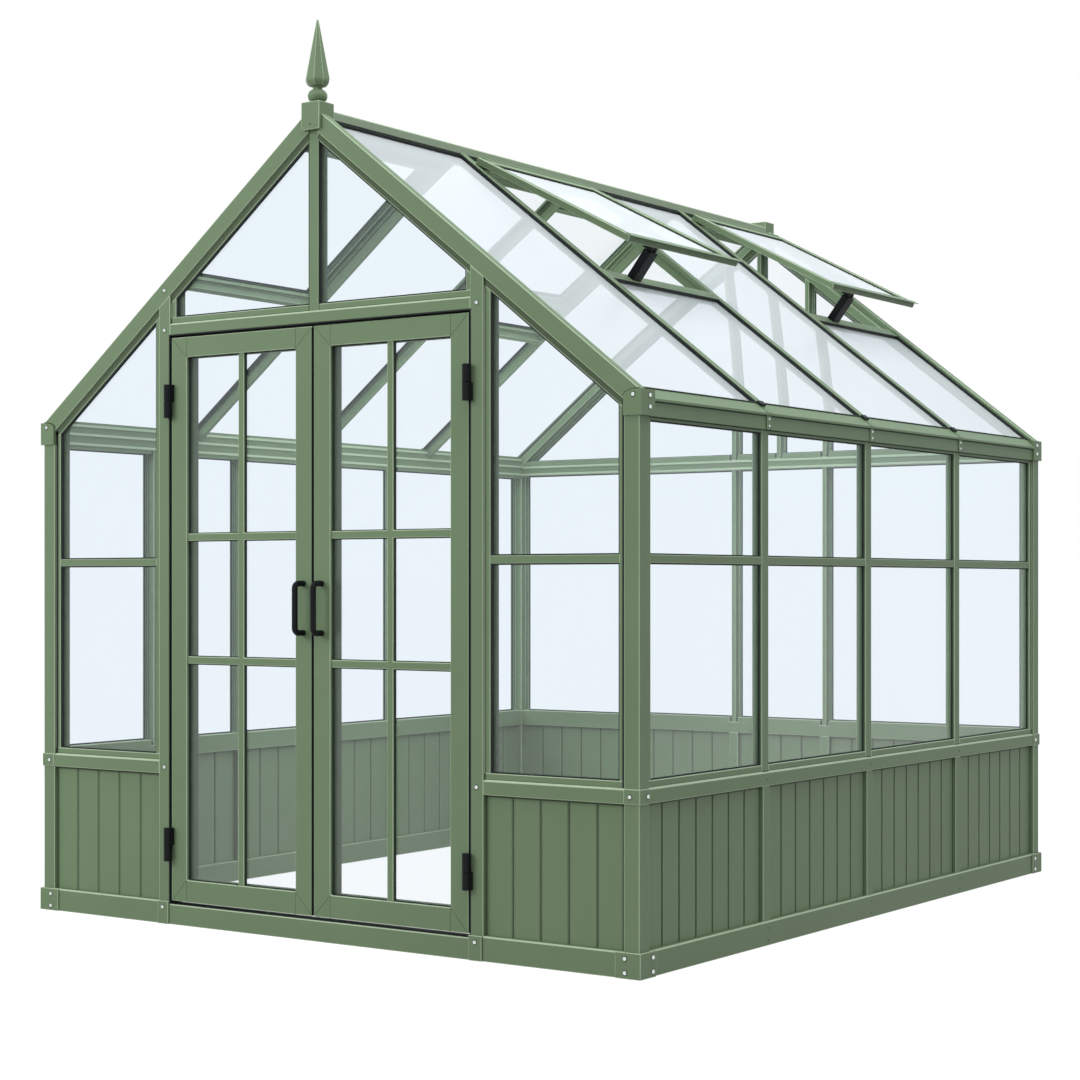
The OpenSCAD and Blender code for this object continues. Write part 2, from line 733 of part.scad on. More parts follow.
// Roof vents
// The bars below and above each vent, with a flashing from the upper bar to the ridge
module sills(bays) {
    caps = side_spans(rafter_half, cap_w / 2, 0);
    stems = side_spans(post / 2, stem_w / 2, 0);
    sheets = side_spans(rafter_half, stem_w / 2, edge_gap);
    for (i = bays) {
        for (u = [sill_u, head_u]) {
            translate([u - sill_w / 2, caps[i][0], -cap_t])
                cube([sill_w, caps[i][1] - caps[i][0], cap_t - cap_low]);
            translate([u - stem_w / 2, stems[i][0], -cap_t - stem_d])
                cube([stem_w, stems[i][1] - stems[i][0], stem_d]);
        }
        translate([head_u, sheets[i][0], -seat_drop])
            cube([full_u - head_u, sheets[i][1] - sheets[i][0], glass_t]);
    }
}
module vent_sills() {
    color(paint) difference() {
        union() {
            left_slope() sills(closed_bays);
            right_slope() sills(open_bays);
        }
        apex_room();
    }
}
// The plane of the bars' caps, on which the vents lie
module on_caps() { translate([0, 0, -cap_low]) children(); }
module swung(angle) {
    translate([hinge_u, 0, 0]) rotate([0, angle, 0]) translate([-hinge_u, 0, 0]) children();
}
function vent_span(i) = side_spans(rafter_half, 0, vent_gap)[i];
// A box over the vent of one bay, inset from its edges
module vent_box(i, inset, w0, w1) {
    s = vent_span(i);
    translate([hinge_u - vent_l + inset, s[0] + inset, w0])
        cube([vent_l - 2 * inset, s[1] - s[0] - 2 * inset, w1 - w0]);
}
module vent_frame(i) {
    difference() {
        vent_box(i, 0, 0, vent_t);
        vent_box(i, vent_rail, -cut, vent_t + cut);
        vent_box(i, vent_rail - vent_rebate, -cut, vent_t - vent_glass_set);
    }
}
module vent_pane(i) {
    vent_box(i, vent_rail - vent_rebate + edge_gap, vent_t - vent_glass_set - glass_t, vent_t - vent_glass_set);
}
module vent_frames() {
    color(paint) {
        left_slope() on_caps() for (i = closed_bays) vent_frame(i);
        right_slope() on_caps() swung(vent_angle) for (i = open_bays) vent_frame(i);
    }
}
module vent_glass() {
    color(pane) {
        left_slope() on_caps() for (i = closed_bays) vent_pane(i);
        right_slope() on_caps() swung(vent_angle) for (i = open_bays) vent_pane(i);
    }
}
// A twin-tube strut from the sill to the underside of the open vent's bottom rail
module opener(i) {
    y = vent_span(i)[0] + opener_y;
    rise = (hinge_u - sill_u) * tan(vent_angle);
    translate([sill_u - opener_d / 2, y - opener_w / 2, 0]) cube([opener_d, opener_w, opener_t]);
    difference() {
        for (side = [-1, 1]) translate([sill_u, y + side * opener_w / 4, opener_t / 2])
            cylinder(r = opener_r, h = rise);
        swung(vent_angle) translate([0, -far / 2, -opener_t / 2]) cube(far);
    }
    swung(vent_angle) translate([sill_u - opener_d / 2, y - opener_w / 2, -opener_t])
        cube([opener_d, opener_w, opener_t]);
}
module vent_openers() {
    color(black) right_slope() on_caps() for (i = open_bays) opener(i);
}

// Wall glass
module wall_pane(span, z0, z1) {
    translate([span[0], glass_set, z0]) cube([span[1] - span[0], glass_t, z1 - z0]);
}
// A pane with its top cut along the gable rafter
module gable_pane(span, z0) {
    plate(glass_set, glass_set + glass_t) polygon([[span[0], z0], [span[1], z0],
        [span[1], roof_z(span[1], -pane_drop)], [span[0], roof_z(span[0], -pane_drop)]]);
}
pane_low = cill_top + bead_w - rebate + edge_gap;
pane_high = eaves_h - eaves_lip + rebate - edge_gap;
bar_room = bar_web / 2 + gasket_t;
module front_glass() {
    span = front_span(0, edge_gap);
    color(pane) front_wall() both_sides() {
        wall_pane(span, pane_low, bar_z - bar_room);
        gable_pane(span, bar_z + bar_room);
        gable_pane([stem_w / 2 + edge_gap, door_half - edge_gap], head_top + bead_w - rebate + edge_gap);
    }
}
module right_glass() {
    color(pane) right_wall() for (s = side_spans(post / 2, stem_w / 2, edge_gap)) {
        wall_pane(s, pane_low, bar_z - bar_room);
        wall_pane(s, bar_z + bar_room, pane_high);
    }
}
module left_glass() {
    color(pane) left_wall() for (s = left_spans(post / 2, stem_w / 2, edge_gap))
        wall_pane(s, pane_low, pane_high);
}
module back_glass() {
    gable_low = tie_top + bead_w - rebate + edge_gap;
    color(pane) back_wall() {
        for (s = back_spans(post / 2, stem_w / 2, edge_gap))
            wall_pane(s, pane_low, tie_z + rebate - edge_gap);
        difference() {
            for (s = gable_spans(post / 2, stem_w / 2, edge_gap)) wall_pane(s, gable_low, apex_z0);
            above_roof(pane_drop);
        }
    }
}

// Doors
// The left leaf's place: X from its hinge edge, Y in from its face, Z from its bottom edge
module left_leaf() { translate([side_gap - door_half, door_set - hl, door_z]) children(); }
module right_leaf() { mirror([1, 0, 0]) left_leaf() children(); }
module leaf_frame() {
    open_w = door_w - 2 * stile_w;
    open_h = door_h - top_rail - bottom_rail;
    difference() {
        cube([door_w, door_t, door_h]);
        translate([stile_w, -cut, bottom_rail]) cube([open_w, door_t + 2 * cut, open_h]);
        translate([stile_w - rebate, door_glass_set, bottom_rail - rebate])
            cube([open_w + 2 * rebate, glass_t + gasket_t, open_h + 2 * rebate]);
    }
}
module leaf_pane() {
    inset = rebate - edge_gap;
    translate([stile_w - inset, door_glass_set, bottom_rail - inset])
        cube([door_w - 2 * stile_w + 2 * inset, glass_t, door_h - top_rail - bottom_rail + 2 * inset]);
}
module leaf_bars() {
    depth = door_glass_set - muntin_set;
    translate([(door_w - muntin_w) / 2, muntin_set, bottom_rail])
        cube([muntin_w, depth, door_h - top_rail - bottom_rail]);
    for (z = [muntin_low, muntin_high]) translate([stile_w, muntin_set, z - muntin_w / 2])
        cube([door_w - 2 * stile_w, depth, muntin_w]);
}
module leaf_handle() {
    leg_z = handle_l / 2 - handle_r;
    translate([door_w - stile_w / 2, 0, handle_z]) {
        translate([0, -handle_out, handle_bend - leg_z]) cylinder(r = handle_r, h = 2 * (leg_z - handle_bend));
        for (flip = [0, 1]) mirror([0, 0, flip]) {
            translate([0, 0, leg_z]) rotate([90, 0, 0]) cylinder(r = handle_r, h = handle_out - handle_bend);
            translate([0, handle_bend - handle_out, leg_z - handle_bend]) rotate([0, -90, 180])
                rotate_extrude(angle = 90) translate([handle_bend, 0]) circle(handle_r);
        }
    }
}
// The hinge axis of the left leaf, at the middle of each hinge
module left_hinges() {
    for (z = [hinge_low, hinge_high]) translate([-hinge_x, -hl - hinge_out, z]) children();
}
half_h = (hinge_h - half_gap) / 2;
// The half of a hinge that sits on the leaf, over the pin
module upper_half() {
    foot = side_gap / 2 + pin_gap;
    translate([0, 0, half_gap / 2]) difference() {
        union() {
            cylinder(r = hinge_r, h = half_h);
            translate([foot, 0, 0]) cube([hinge_foot - foot, hinge_out + door_set, half_h]);
        }
        translate([0, 0, -cut]) cylinder(r = pin_r + pin_gap, h = pin_l + 2 * cut);
    }
}
// The half of a hinge that sits on the post, with its pin
module lower_half() {
    foot = side_gap / 2 + pin_gap;
    translate([0, 0, -half_gap / 2]) {
        mirror([0, 0, 1]) cylinder(r = hinge_r, h = half_h);
        translate([-hinge_foot, 0, -half_h]) cube([hinge_foot - foot, hinge_out, half_h]);
        translate([0, 0, -cut]) cylinder(r = pin_r, h = pin_l + cut);
    }
}
module left_door_frame() {
    color(paint) left_leaf() leaf_frame();
}
module left_door_glass() {
    color(pane) left_leaf() leaf_pane();
}
module left_door_bars() {
    color(paint) left_leaf() leaf_bars();
}
module left_door_handle() {
    color(black) left_leaf() leaf_handle();
}
module left_door_hinges() {
    color(black) left_hinges() upper_half();
}
module right_door_frame() {
    color(paint) right_leaf() leaf_frame();
}
module right_door_glass() {
    color(pane) right_leaf() leaf_pane();
}
module right_door_bars() {
    color(paint) right_leaf() leaf_bars();
}
module right_door_handle() {
    color(black) right_leaf() leaf_handle();
}
module right_door_hinges() {
    color(black) mirror([1, 0, 0]) left_hinges() upper_half();
}
module door_hinge_pins() {
    color(black) both_sides() left_hinges() lower_half();
}

front_base_rails();
side_base_rails();
back_base_rail();
base_brackets();
corner_posts();
door_posts();
front_cill_rails();
side_cill_rails();
back_cill_rail();
cill_brackets();
front_panels();
left_panels();
right_panels();
back_panels();
panel_studs();
left_mullions();
right_mullions();
back_mullions();
glazing_bars();
eaves_beams();
eaves_brackets();
eaves_clips();
front_rafters();
back_rafters();
left_roof_bars();
right_roof_bars();
ridge_beam();
apex_blocks();
finial();
door_header();
front_king_post();
back_tie_rail();
back_gable_bars();
front_glass();
left_glass();
right_glass();
back_glass();
left_roof_glass();
right_roof_glass();
vent_sills();
vent_frames();
vent_glass();
vent_openers();
door_hinge_pins();
left_door_frame();
left_door_glass();
left_door_bars();
left_door_handle();
left_door_hinges();
right_door_frame();
right_door_glass();
right_door_bars();
right_door_handle();
right_door_hinges();
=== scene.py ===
"""Looks of an aluminium greenhouse: paint, clear glass, black fittings, screws, seals and a studio."""

import math

import bmesh
import bpy
from bpy.props import FloatProperty
from bpy.props import FloatVectorProperty
from bpy.props import IntProperty
from bpy.props import PointerProperty
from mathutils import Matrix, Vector


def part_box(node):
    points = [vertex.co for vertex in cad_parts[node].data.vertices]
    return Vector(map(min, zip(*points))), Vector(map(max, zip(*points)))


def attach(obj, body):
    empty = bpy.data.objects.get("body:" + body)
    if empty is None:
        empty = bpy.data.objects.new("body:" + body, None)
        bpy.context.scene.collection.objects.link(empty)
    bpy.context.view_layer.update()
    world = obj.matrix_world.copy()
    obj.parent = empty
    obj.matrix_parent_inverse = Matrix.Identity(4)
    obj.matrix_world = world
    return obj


bl_info = {
    "name": "Aluminium Greenhouse",
    "version": (1, 0, 0),
    "blender": (4, 5, 0),
    "location": "View3D > Sidebar > Greenhouse",
    "description": "Dresses the greenhouse frame with paint, glass, screws, seals and a studio",
    "category": "Object",
}

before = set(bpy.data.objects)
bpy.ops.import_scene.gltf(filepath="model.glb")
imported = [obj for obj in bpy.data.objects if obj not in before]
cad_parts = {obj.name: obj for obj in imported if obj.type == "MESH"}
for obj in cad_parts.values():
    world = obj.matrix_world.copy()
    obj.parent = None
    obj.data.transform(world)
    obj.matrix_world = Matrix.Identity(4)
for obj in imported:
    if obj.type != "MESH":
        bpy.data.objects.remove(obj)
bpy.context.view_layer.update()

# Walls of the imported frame, which the trim follows, in metres; depths are behind the outer face
HALF_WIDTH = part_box("corner_posts")[1].x
HALF_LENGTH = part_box("corner_posts")[1].y
EAVES_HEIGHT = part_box("right_mullions")[1].z
BASE_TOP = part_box("side_base_rails")[1].z
CILL_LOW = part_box("cill_brackets")[0].z
CILL_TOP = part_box("cill_brackets")[1].z
POST = 0.055
BEAD = 0.022
BEAD_DEPTH = 0.008
GLASS_DEPTH = 0.022
GLASS_BACK = 0.0265
MULLION = 0.045
SIDE_BAYS = 4
LEFT_BAYS = 6
BACK_MULLION = 0.240
KING_POST = 0.040
BAR_MIDDLE = 1.268
BAR_FACE = 0.025
BASE_PROUD = 0.004
BRACKET_PROUD = 0.010
CILL_PROUD = 0.004
PANEL_DEPTH = 0.016
PANEL_THICK = 0.018
BOARD = 0.104
STUD = 0.045
DOOR_HALF = 0.655
DOOR_POST = 0.052
THRESHOLD = 0.072
HEADER = 0.043
HEAD_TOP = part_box("door_header")[1].z - BEAD
HEAD_LOW = HEAD_TOP - HEADER
TIE_RAIL = 0.047
TIE_LOW = EAVES_HEIGHT
TIE_TOP = TIE_LOW + TIE_RAIL

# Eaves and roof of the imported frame, in metres; drops are below the roof plane and square to it
PITCH = math.radians(38)
ROOF_LOW = 1.780
EAVES_PROUD = 0.006
EAVES_LIP = 0.010
EAVES_BRACKET = 0.072
NOSE_OUT = 0.011
BAND_DROP = 0.014
BAND_UP = 0.030
FASCIA_OUT = 0.003
FASCIA_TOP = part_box("eaves_clips")[1].z
CLIP_PROUD = 0.006
PLATE_SIDE = 0.060
PLATE_TOP = 0.080
RAFTER = 0.058
RAFTER_TOP = 0.038
ROOF_CAP = 0.034
ROOF_GLASS = 0.022
CAP_LOW = 0.008
RIDGE_HALF = 0.038
RIDGE_LOW = 2.7453
APEX_END = 0.066
VENT_HINGE = 1.5165
VENT_LENGTH = 0.734
VENT_RAIL = 0.040
VENT_THICK = 0.024
VENT_GLASS = 0.010
VENT_GAP = 0.004
VENT_ANGLE = math.radians(10.5)
OPEN_BAYS = (1, 3)
SHUT_BAYS = (0, 2)
SILL_MIDDLE = 0.8025
SILL = 0.046
OPENER_ALONG = 0.180

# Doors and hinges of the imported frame, in metres; heights are above the foot of a leaf
LEAF_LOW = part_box("left_door_frame")[0]
LEAF_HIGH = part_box("left_door_frame")[1]
LEAF_WIDTH = LEAF_HIGH.x - LEAF_LOW.x
LEAF_HEIGHT = LEAF_HIGH.z - LEAF_LOW.z
STILE = 0.072
TOP_RAIL = 0.070
BOTTOM_RAIL = 0.076
LEAF_GLASS = 0.018
LEAF_BACK = 0.0225
MUNTIN = 0.025
MUNTIN_LOW = 0.844
MUNTIN_DROP = 0.698
MUNTIN_HIGH = LEAF_HEIGHT - MUNTIN_DROP
HINGE_ACROSS = 0.6515
HINGE_OUT = 0.015
HINGE_LOW = 0.280
HINGE_DROP = 0.222
HINGE_HALF = 0.058

# Sizes of painted shadow lines, painted highlights on the boards' edges, joints and clip plates, in metres
LINE_PROUD = 0.0003
LINE_DEEP = 0.001
SHADOW_PROUD = 0.0004
OVER_LINE = 0.0002
GROOVE_SET = 0.0035
BOARD_HIGHLIGHT = 0.0016
BOARD_HIGHLIGHT_GAP = 0.001
CILL_SHADOW = 0.007
PANEL_SHADOW = 0.005
FRONT_SHADOW = 0.016
POST_SHADOW = 0.011
RAFTER_SHADE = 0.017
RAFTER_SHADE_DROP = 0.0095
FASCIA_SHADOW = 0.0045
CLIP_LINE = 0.0022
CLIP_LINE_GAP = 0.001
PLATE_LINE = 0.0038
PLATE_LINE_OUT = 0.0045
PLATE_LINE_UP = 0.0016
PLATE_ARC_STEPS = 6
MITRE_IN = 0.006
STRIP_SHORT = 0.012
STRIP_PROUD = 0.0012
STRIP_LINE_PROUD = 0.0014
CLIP_PLATE = 0.026
PLATE_THICK = 0.0015
PLATE_RISE = 0.004
PLATE_CLEAR = 0.001

# Sizes of the returns, ribs, seals, sleeves, caps, drips, hinge rods and opener covers, in metres
RETURN_TUCK = 0.004
RETURN_PROUD = 0.0005
RAFTER_TUCK = 0.03
LEAF_RETURN = 0.060
EAVES_RIBS = (0.004, 0.040, 0.072)
EAVES_RIB_GAP = 0.002
TIE_RIBS = (0.003, 0.036)
TIE_RIB_GAP = 0.006
RIDGE_SEAL_NEAR = 0.003
RIDGE_SEAL_FAR = 0.013
VENT_GASKET = 0.004
SEAL_SHORT = 0.004
SEAL_NEAR = 0.0006
SEAL_BACK = 0.003
SEAL_DEEP = 0.045
LIP_DEEP = 0.004
SLEEVE_THICK = 0.0016
SLEEVE_GAP = 0.0006
SLEEVE_SIDES = 32
CAP_DOWN = 0.018
CAP_UP = 0.003
CAP_PROUD = 0.004
DRIP_OUT = 0.012
DRIP_LAP = 0.020
DRIP_THICK = 0.0025
ROD_RADIUS = 0.006
ROD_SIDES = 16
ROD_IN = 0.004
ROD_SHORT = 0.03
ROD_SUNK = 0.002
HOUSING_HALF_UP = 0.016
HOUSING_HALF_ALONG = 0.027
HOUSING_LIFT = 0.002
HOUSING_TALL = 0.116

# Gaskets and lips, as shares of the sizes in the settings
WALL_GASKET_DEPTH = 0.5
LEAF_GASKET_DEPTH = 0.6
LEAF_GASKET_WIDTH = 0.7
LEAF_LIP = 0.3

# Places of the screws, from the ends of a wall or above the ground, in metres
GABLE_BASE_SCREW = 0.046
SIDE_BASE_SCREW = 0.061
BASE_SCREW_HEIGHTS = (0.018, 0.061)
SHOE_SCREW_HEIGHT = 0.059
GABLE_CILL_SCREW = 0.032
SIDE_CILL_SCREW = 0.042
GABLE_EAVES_SCREW = 0.019
GABLE_EAVES_SCREW_HEIGHT = 1.763
SIDE_EAVES_SCREW = 0.043
SIDE_EAVES_SCREW_HEIGHTS = (1.727, 1.762)
POST_SCREW_RISE = 0.140
RAIL_SCREW_HEIGHTS = (0.018, 0.058)
APEX_SCREW_RISE = 0.020
CLIP_SCREW_HEIGHTS = (1.712, 1.735)
SEAT_HEIGHT = 0.0004

# A screw head with its round drive, as shares of its radius and height
SCREW_HEAD = (
    (0.0, 0.0),
    (1.0, 0.0),
    (1.0, 0.22),
    (0.93, 0.55),
    (0.74, 0.86),
    (0.46, 1.0),
    (0.38, 0.96),
    (0.34, 0.45),
    (0.0, 0.40),
)

# Rounding and smoothing of edges, in metres and radians, or as a share of the frame's rounding
PANE_ROUND = 0.0005
FITTING_ROUND = 0.0012
SLEEVE_ROUND = 0.0007
TRIM_ROUND = 0.001
DRIP_ROUND = 0.0008
HOUSING_ROUND = 0.003
PANEL_ROUND_SHARE = 0.5
WELD_GAP = 0.00002
FLAT_ANGLE = math.radians(0.5)
EDGE_ANGLE = math.radians(30)
SHARP_ANGLE = math.radians(40)
FACE_WEIGHT = 100

# Surfaces: scale and detail of the noise, height of the peel in metres, and how fast the painted reflection
# on the roof thins
BROAD_SCALE = 2.3
BROAD_DETAIL = 4.0
PEEL_DETAIL = 2.0
PEEL_HEIGHT = 0.0004
VEIL_FALL = 2.2

# The studio, in metres, with the camera's sensor in millimetres
LAMP_TARGET = Vector((0.0, 0.0, 1.1))
KEY_PLACE = Vector((-4.6, -7.6, 4.6))
KEY_SIZE = 5.0
TOP_PLACE = Vector((1.5, -1.0, 7.5))
TOP_SIZE = 6.0
INSIDE_PLACE = Vector((0.0, 0.1, 1.35))
INSIDE_SIZE = 0.9
FLOOR_SIZE = 60.0
FLOOR_DROP = 0.001
FLOOR_LIT = 0.6
SENSOR_WIDTH = 36.0
LEVEL = math.radians(90)


def bay_bars(bays):
    """Places of the bars between equal bays along a side wall."""
    step = (2 * (HALF_LENGTH - POST) + MULLION) / bays
    return [POST - HALF_LENGTH - MULLION / 2 + index * step for index in range(1, bays)]


SIDE_MULLIONS = bay_bars(SIDE_BAYS)
WALL_BARS = {"left": bay_bars(LEFT_BAYS), "right": SIDE_MULLIONS, "back": [-BACK_MULLION, BACK_MULLION]}
GLASS_NODES = [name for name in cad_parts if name.endswith("_glass")]
BLACK_WORDS = ("handle", "hinges", "hinge_pins", "openers")
BLACK_NODES = [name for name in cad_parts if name.endswith(BLACK_WORDS)]
PAINT_NODES = [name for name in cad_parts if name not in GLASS_NODES and name not in BLACK_NODES]
GABLES = ("front", "back")
SIDE_WALLS = ("left", "right")
BOTH_SIDES = (-1, 1)
LEAVES = (("left_door", -1), ("right_door", 1))
VENTS = ((-1, SHUT_BAYS, 0.0), (1, OPEN_BAYS, VENT_ANGLE))
BODY = "frame"


def length(label, note, default):
    """A length that a user may change, in metres."""
    return FloatProperty(name=label, description=note, default=default, min=0.0, unit="LENGTH", precision=4)


def colour(label, note, default):
    """A linear colour that a user may change."""
    return FloatVectorProperty(
        name=label, description=note, default=default, size=3, min=0.0, max=1.0, subtype="COLOR"
    )


def share(label, note, default):
    """A share from nothing to one that a user may change."""
    return FloatProperty(name=label, description=note, default=default, min=0.0, max=1.0, subtype="FACTOR")


def power(label, note, default):
    """The power of a lamp that a user may change, in watts."""
    return FloatProperty(name=label, description=note, default=default, min=0.0, unit="POWER")


class FinishSettings(bpy.types.PropertyGroup):
    """Colours and surface qualities of the greenhouse."""

    paint: colour("Paint", "Sage green powder coat", (0.136, 0.198, 0.112))
    # Painted highlight: a lighter coat on the rounded edges, the eaves ribs and the clip plates' edges
    painted_edge_highlight: colour("Painted Edge Highlight", "Powder coat where it thins over an edge", (0.350, 0.440, 0.300))
    # Painted light on the ridge, and painted highlights along the boards' edges
    painted_ridge_light: colour("Painted Ridge Light", "Bleached paint of the ridge and board edges", (0.205, 0.270, 0.178))
    # Painted shade: a darker copy of the paint beside the panels, under the cill, on the rafter beads and
    # behind the panes
    painted_shade_tone: colour("Painted Shade", "Paint in recesses and behind the panes", (0.072, 0.102, 0.058))
    paint_roughness: share("Paint Roughness", "Gloss of the powder coat, rough at 1", 0.46)
    paint_sheen: share("Paint Sheen", "Strength of reflections in the powder coat", 0.22)
    # Dark joints, mitres and screw seats, and painted shade in the boards' grooves, around the beads and
    # along the eaves
    seam: colour("Seam", "Joints, grooves and screw seats in the paint", (0.040, 0.062, 0.034))
    glass: colour("Glass", "Tint of one pane", (0.910, 0.952, 0.984))
    black: colour("Black", "Hinges, handles and vent openers", (0.008, 0.009, 0.010))
    rubber: colour("Rubber", "Gaskets, seals and end caps", (0.020, 0.024, 0.023))
    # Painted reflection: a pale veil on the upper faces of the roof and vent panes, densest at a slant
    painted_veil: colour("Painted Veil", "Dust on the roof panes that shows at a slant", (0.526, 0.564, 0.590))
    zinc: colour("Zinc", "Bright screw heads", (0.82, 0.83, 0.81))


class TrimSettings(bpy.types.PropertyGroup):
    """Sizes of the small parts that dress the frame."""

    edge_round: length("Edge Rounding", "Rounding along the edges of the frame", 0.0022)
    screw_radius: length("Screw Radius", "Radius of a bright screw head", 0.0068)
    screw_seat: length("Screw Seat", "Width of the dark seat around a bright screw", 0.0020)
    screw_height: length("Screw Height", "Height of a bright screw head", 0.0042)
    rivet_radius: length("Rivet Radius", "Radius of a small screw on the rails and clips", 0.0042)
    rivet_height: length("Rivet Height", "Height of a small screw on the rails and clips", 0.0024)
    gasket_width: length("Gasket Width", "Width of a gasket beside a bead", 0.0045)
    gasket_depth: length("Gasket Depth", "Depth of a gasket in front of the glass", 0.0110)
    seal_thick: length("Seal Thickness", "Thickness of a seal around the doors", 0.0008)
    sleeve_radius: length("Sleeve Radius", "Radius of the sleeve on a hinge barrel", 0.0134)
    # Painted shadow: the lips widen the dark line of the door gaps
    lip_width: length("Lip Width", "Width of a seal's lip on the faces beside the doors", 0.0045)
    lip_proud: length("Lip Height", "How far a seal's lip stands off those faces", 0.0004)
    rib_width: length("Rib Width", "Width of a rib along the inside of the eaves", 0.0090)
    rib_proud: length("Rib Height", "How far a rib stands off the inside of the eaves", 0.0040)
    seam_width: length("Seam Width", "Width of a hairline joint", 0.0012)
    bead_shadow_width: length("Bead Shadow Width", "Width of the shadow line beside a bead", 0.0030)
    groove_width: length("Groove Width", "Width of the shadow line in a board's groove", 0.0070)
    seam_proud: length("Seam Height", "Height of a hairline joint above its face", 0.0002)
    segments: IntProperty(name="Segments", description="Sides of a screw head", default=18, min=8, max=48)


class StudioSettings(bpy.types.PropertyGroup):
    """Camera, lamps and floor."""

    camera_place: FloatVectorProperty(
        name="Camera Place",
        description="Where the camera stands",
        default=(4.882, -7.2251, 1.1918),
        subtype="TRANSLATION",
        unit="LENGTH",
    )
    camera_turn: FloatProperty(
        name="Camera Turn",
        description="Turn of the level camera about the vertical",
        default=math.radians(34.857),
        subtype="ANGLE",
    )
    camera_lens: FloatProperty(
        name="Camera Lens", description="Focal length", default=74.43, unit="CAMERA"
    )
    camera_shift: FloatProperty(name="Camera Shift", description="Vertical lens shift", default=0.0405)
    floor: share("Floor", "Share of the floor's white that takes shadow", 0.30)
    ambient: FloatProperty(name="Ambient", description="Strength of the white surroundings", default=0.80)
    key: power("Key Lamp", "Large lamp at the front left", 430.0)
    top: power("Top Lamp", "Large lamp overhead", 400.0)
    inside: power("Inside Lamp", "Soft lamp under the roof", 42.0)
    reflected: colour("Reflected Tint", "Tint of the surroundings seen by reflection", (0.86, 0.95, 1.0))


# Places


def wall_point(wall, along, depth, height):
    """A point by its place along a wall, its depth behind the outer face, and its height."""
    if wall == "front":
        return Vector((along, depth - HALF_LENGTH, height))
    if wall == "back":
        return Vector((along, HALF_LENGTH - depth, height))
    if wall == "right":
        return Vector((HALF_WIDTH - depth, along, height))
    return Vector((depth - HALF_WIDTH, along, height))


def wall_place(wall):
    """Places a flat outline, drawn along the wall and up, at a depth behind the wall's face."""
    return lambda along, height, depth: wall_point(wall, along, depth, height)


def wall_normal(wall):
    """The direction out of a wall."""
    return (wall_point(wall, 0.0, 0.0, 0.0) - wall_point(wall, 0.0, 1.0, 0.0)).normalized()


def slope_place(side, swing=0.0):
    """Places a flat outline, drawn up the slope and along the ridge, at a depth below the roof plane."""

    def place(up, along, depth):
        arm = up - VENT_HINGE
        rise = CAP_LOW - depth
        turned = VENT_HINGE + arm * math.cos(swing) + rise * math.sin(swing)
        lift = rise * math.cos(swing) - arm * math.sin(swing) - CAP_LOW
        out = HALF_WIDTH - turned * math.cos(PITCH) + lift * math.sin(PITCH)
        return Vector((side * out, along, ROOF_LOW + turned * math.sin(PITCH) + lift * math.cos(PITCH)))

    return place


def leaf_place(side):
    """Places a flat outline, drawn from a leaf's hinge edge and up, at a depth behind the leaf's face."""
    return lambda across, height, depth: Vector(
        (side * (-LEAF_LOW.x - across), LEAF_LOW.y + depth, LEAF_LOW.z + height)
    )


def ridge_place(across, height, along):
    """Places a flat outline, drawn across the gable and up, at a place along the ridge."""
    return Vector((across, along, height))


def axis_place(axis):
    """Places a flat outline, drawn around an upright axis, at a height along it."""
    return lambda across, along, height: axis + Vector((across, along, height))


def roof_height(across, drop):
    """Height of the roof plane over a place across the gable, lowered square to the slope."""
    return ROOF_LOW + (HALF_WIDTH - abs(across)) * math.tan(PITCH) - drop / math.cos(PITCH)


def rectangle(left, right, low, high):
    """A rectangular outline."""
    return [(left, low), (right, low), (right, high), (left, high)]


def gable_outline(left, right, low, drop):
    """An outline whose top follows the roof, down to a point where the roof meets its lower edge."""
    left_top = roof_height(left, drop)
    right_top = roof_height(right, drop)
    if right_top > low:
        return [(left, low), (right, low), (right, right_top), (left, left_top)]
    reach = (right_top - low) / math.tan(PITCH)
    return [(left, low), (right + math.copysign(1.0, right) * reach, low), (left, left_top)]


# Meshes


def inset(outline, width):
    """The outline moved inwards by a width all round."""
    points = [Vector(p) for p in outline]
    area = sum(a.x * b.y - b.x * a.y for a, b in zip(points, points[1:] + points[:1]))
    turn = 1.0 if area > 0 else -1.0
    moved = []
    for index, point in enumerate(points):
        before = (point - points[index - 1]).normalized()
        after = (points[(index + 1) % len(points)] - point).normalized()
        inward = Vector((-before.y - after.y, before.x + after.x)) * turn
        half = 1.0 + before.dot(after)
        moved.append(point + inward * (width / half))
    return moved


def add_ring(mesh, outline, width, near, far, place):
    """A closed frame of even width inside an outline, between two depths."""
    inner = inset(outline, width)
    rings = []
    for points, depth in ((outline, near), (inner, near), (inner, far), (outline, far)):
        rings.append([mesh.verts.new(place(p[0], p[1], depth)) for p in points])
    count = len(outline)
    for ring, following in zip(rings, rings[1:] + rings[:1]):
        for index in range(count):
            after = (index + 1) % count
            mesh.faces.new((ring[index], ring[after], following[after], following[index]))


def add_slab(mesh, outline, near, far, place):
    """A flat slab with an outline, between two depths."""
    front = [mesh.verts.new(place(p[0], p[1], near)) for p in outline]
    back = [mesh.verts.new(place(p[0], p[1], far)) for p in outline]
    mesh.faces.new(front)
    mesh.faces.new(back)
    for index in range(len(outline)):
        after = (index + 1) % len(outline)
        mesh.faces.new((front[index], front[after], back[after], back[index]))


def add_strip(mesh, start, end, width, near, far, place):
    """A straight strip between two points of a flat drawing, between two depths."""
    first = Vector(start)
    last = Vector(end)
    along = (last - first).normalized()
    side = Vector((-along.y, along.x)) * (width / 2)
    add_slab(mesh, [first - side, last - side, last + side, first + side], near, far, place)


